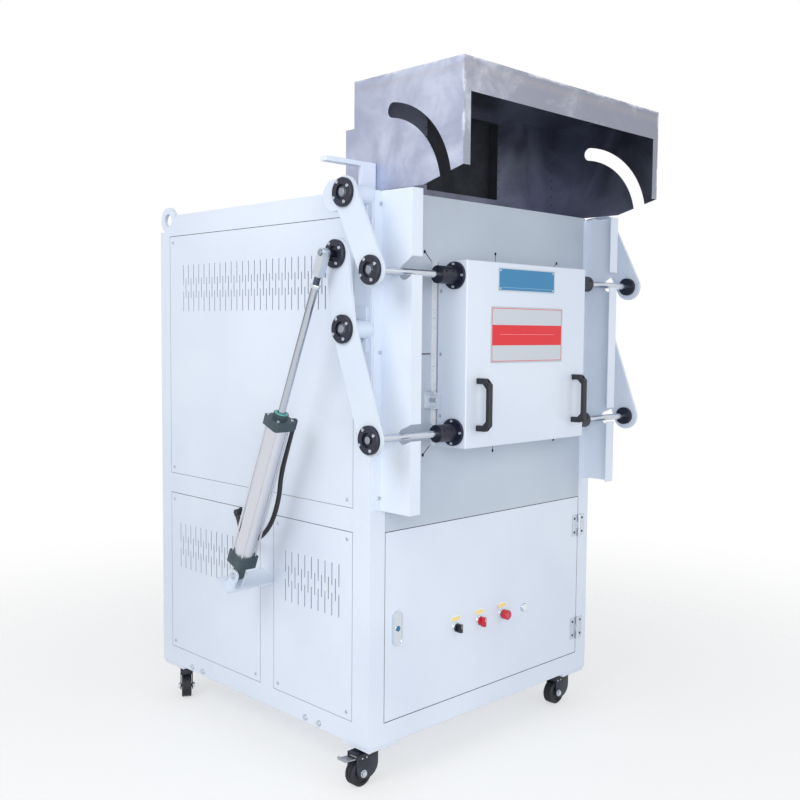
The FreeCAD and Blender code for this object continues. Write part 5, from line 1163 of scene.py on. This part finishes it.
def bead(name, points, radius, body, finish):
    """A run of weld: overlapping ripples along straight legs."""
    ripple = None
    places = []
    bpy.ops.object.select_all(action="DESELECT")
    bpy.ops.mesh.primitive_uv_sphere_add(segments=8, ring_count=5, radius=radius / 1000)
    ripple = bpy.context.object
    ripple.scale = (1.0, 1.0, 0.55)
    bpy.ops.object.transform_apply(location=True, rotation=True, scale=True)
    for a, b in zip(points, points[1:]):
        start, stop = Vector(a), Vector(b)
        count = max(2, round((stop - start).length / (radius * 0.8)))
        for i in range(count):
            spot = start.lerp(stop, (i + 0.5) / count)
            wobble = 0.25 * radius * math.sin(i * 2.4)
            places.append(facing(at(*spot), stop - start, 40 * i) @ Matrix.Scale(1 + wobble / radius / 2, 4))
    fitted(repeated(ripple, places), name, body, finish, 60)


def weld_beads():
    bead("eye_weld_left", [(12.5, 955, 1455), (12.5, 990, 1459.5), (12.5, 1040, 1459.5)], 2.6, "cabinet", body_paint)
    bead("stop_weld_left", [(2, 49, 1504), (2, 68, 1504)], 2.6, "cabinet", body_paint)
    y, z = base_pin
    tilt = math.radians(30.0)
    def on_slab(x, v):
        return (x, y + v * math.cos(tilt) + 35.7 * math.sin(tilt), z + v * math.sin(tilt) - 35.7 * math.cos(tilt))
    bead("bracket_weld", [on_slab(-1.5, -26.0), on_slab(-1.5, 37.0)], 2.6, "cabinet", arm_paint)
    for x in (-142.5, -107.5):
        bead("lug_weld_%d" % abs(x), [on_slab(x, -16), on_slab(x, 16)], 1.9, "cabinet", arm_paint)


panel_screws()
arm_screws()
door_flange_screws()
retaining_clips()
shaft_ends()
pivot_bolts()
door_handles()
name_plates()
door_side_screws()
cylinder_details()
rod_fork()
bracket_bolts()
base_pin_heads()
air_hose()
hinge_screws()
control_trim()
selectors()
caster_forks()
caster_details()
gap_shadow_strips()
vent_shade_sheets()
relief_slit_shade()
tack_welds()
weld_beads()


# Studio

def studio():
    world = bpy.data.worlds.new("studio")
    bpy.context.scene.world = world
    world.use_nodes = True
    tree = world.node_tree
    tree.nodes.clear()
    out = tree.nodes.new("ShaderNodeOutputWorld")
    background = tree.nodes.new("ShaderNodeBackground")
    seen = tree.nodes.new("ShaderNodeBackground")
    mix = tree.nodes.new("ShaderNodeMixShader")
    path = tree.nodes.new("ShaderNodeLightPath")
    background.inputs["Color"].default_value = (0.93, 0.96, 1.0, 1.0)
    background.inputs["Strength"].default_value = 0.54
    seen.inputs["Color"].default_value = (1.0, 1.0, 1.0, 1.0)
    seen.inputs["Strength"].default_value = 1.0
    either = tree.nodes.new("ShaderNodeMath")
    either.operation = "MAXIMUM"
    tree.links.new(path.outputs["Is Camera Ray"], either.inputs[0])
    glossy = tree.nodes.new("ShaderNodeMath")
    glossy.operation = "MAXIMUM"
    tree.links.new(path.outputs["Is Glossy Ray"], glossy.inputs[0])
    tree.links.new(path.outputs["Is Transmission Ray"], glossy.inputs[1])
    tree.links.new(glossy.outputs[0], either.inputs[1])
    tree.links.new(either.outputs[0], mix.inputs[0])
    tree.links.new(background.outputs[0], mix.inputs[1])
    tree.links.new(seen.outputs[0], mix.inputs[2])
    tree.links.new(mix.outputs[0], out.inputs[0])


def lamp(name, place, target, size, power):
    data = bpy.data.lights.new(name, "AREA")
    data.shape = "DISK"
    data.size = size
    data.energy = power
    light = bpy.data.objects.new(name, data)
    bpy.context.scene.collection.objects.link(light)
    aim = (Vector(target) - Vector(place)).to_track_quat("-Z", "Y")
    light.matrix_world = Matrix.Translation(place) @ aim.to_matrix().to_4x4()


def floor():
    bpy.ops.object.select_all(action="DESELECT")
    bpy.ops.mesh.primitive_grid_add(x_subdivisions=8, y_subdivisions=8, size=40)
    ground = bpy.context.object
    ground.name = "studio_floor"
    pale = Finish("studio floor", "floor", (0.92, 0.93, 0.94, 1.0), 0.8)
    flat = pale.node("TexCoord", out=3)
    away = pale.node("VectorMath", {"operation": "LENGTH"}, {0: flat}, out=1)
    clear = pale.tree.nodes.new("ShaderNodeBsdfTransparent")
    blend = pale.tree.nodes.new("ShaderNodeMixShader")
    out = pale.tree.nodes["Material Output"]
    pale.feed(blend.inputs[0], pale.ranged(away, 0.5, 3.4, 0.55, 1.0))
    pale.tree.links.new(pale.shader.outputs[0], blend.inputs[1])
    pale.tree.links.new(clear.outputs[0], blend.inputs[2])
    pale.tree.links.new(blend.outputs[0], out.inputs["Surface"])
    ground.data.materials.append(pale.material)


studio()
lamp("key", (-3.4, -0.6, 3.0), (0, 0, 1.0), 2.2, 50)
lamp("front", (1.2, -3.8, 2.4), (0, 0, 0.9), 2.4, 18)
lamp("fill", (-2.5, -3.3, 1.4), (0, 0, 0.8), 2.4, 56)
floor()
bpy.context.scene.view_settings.view_transform = "Standard"
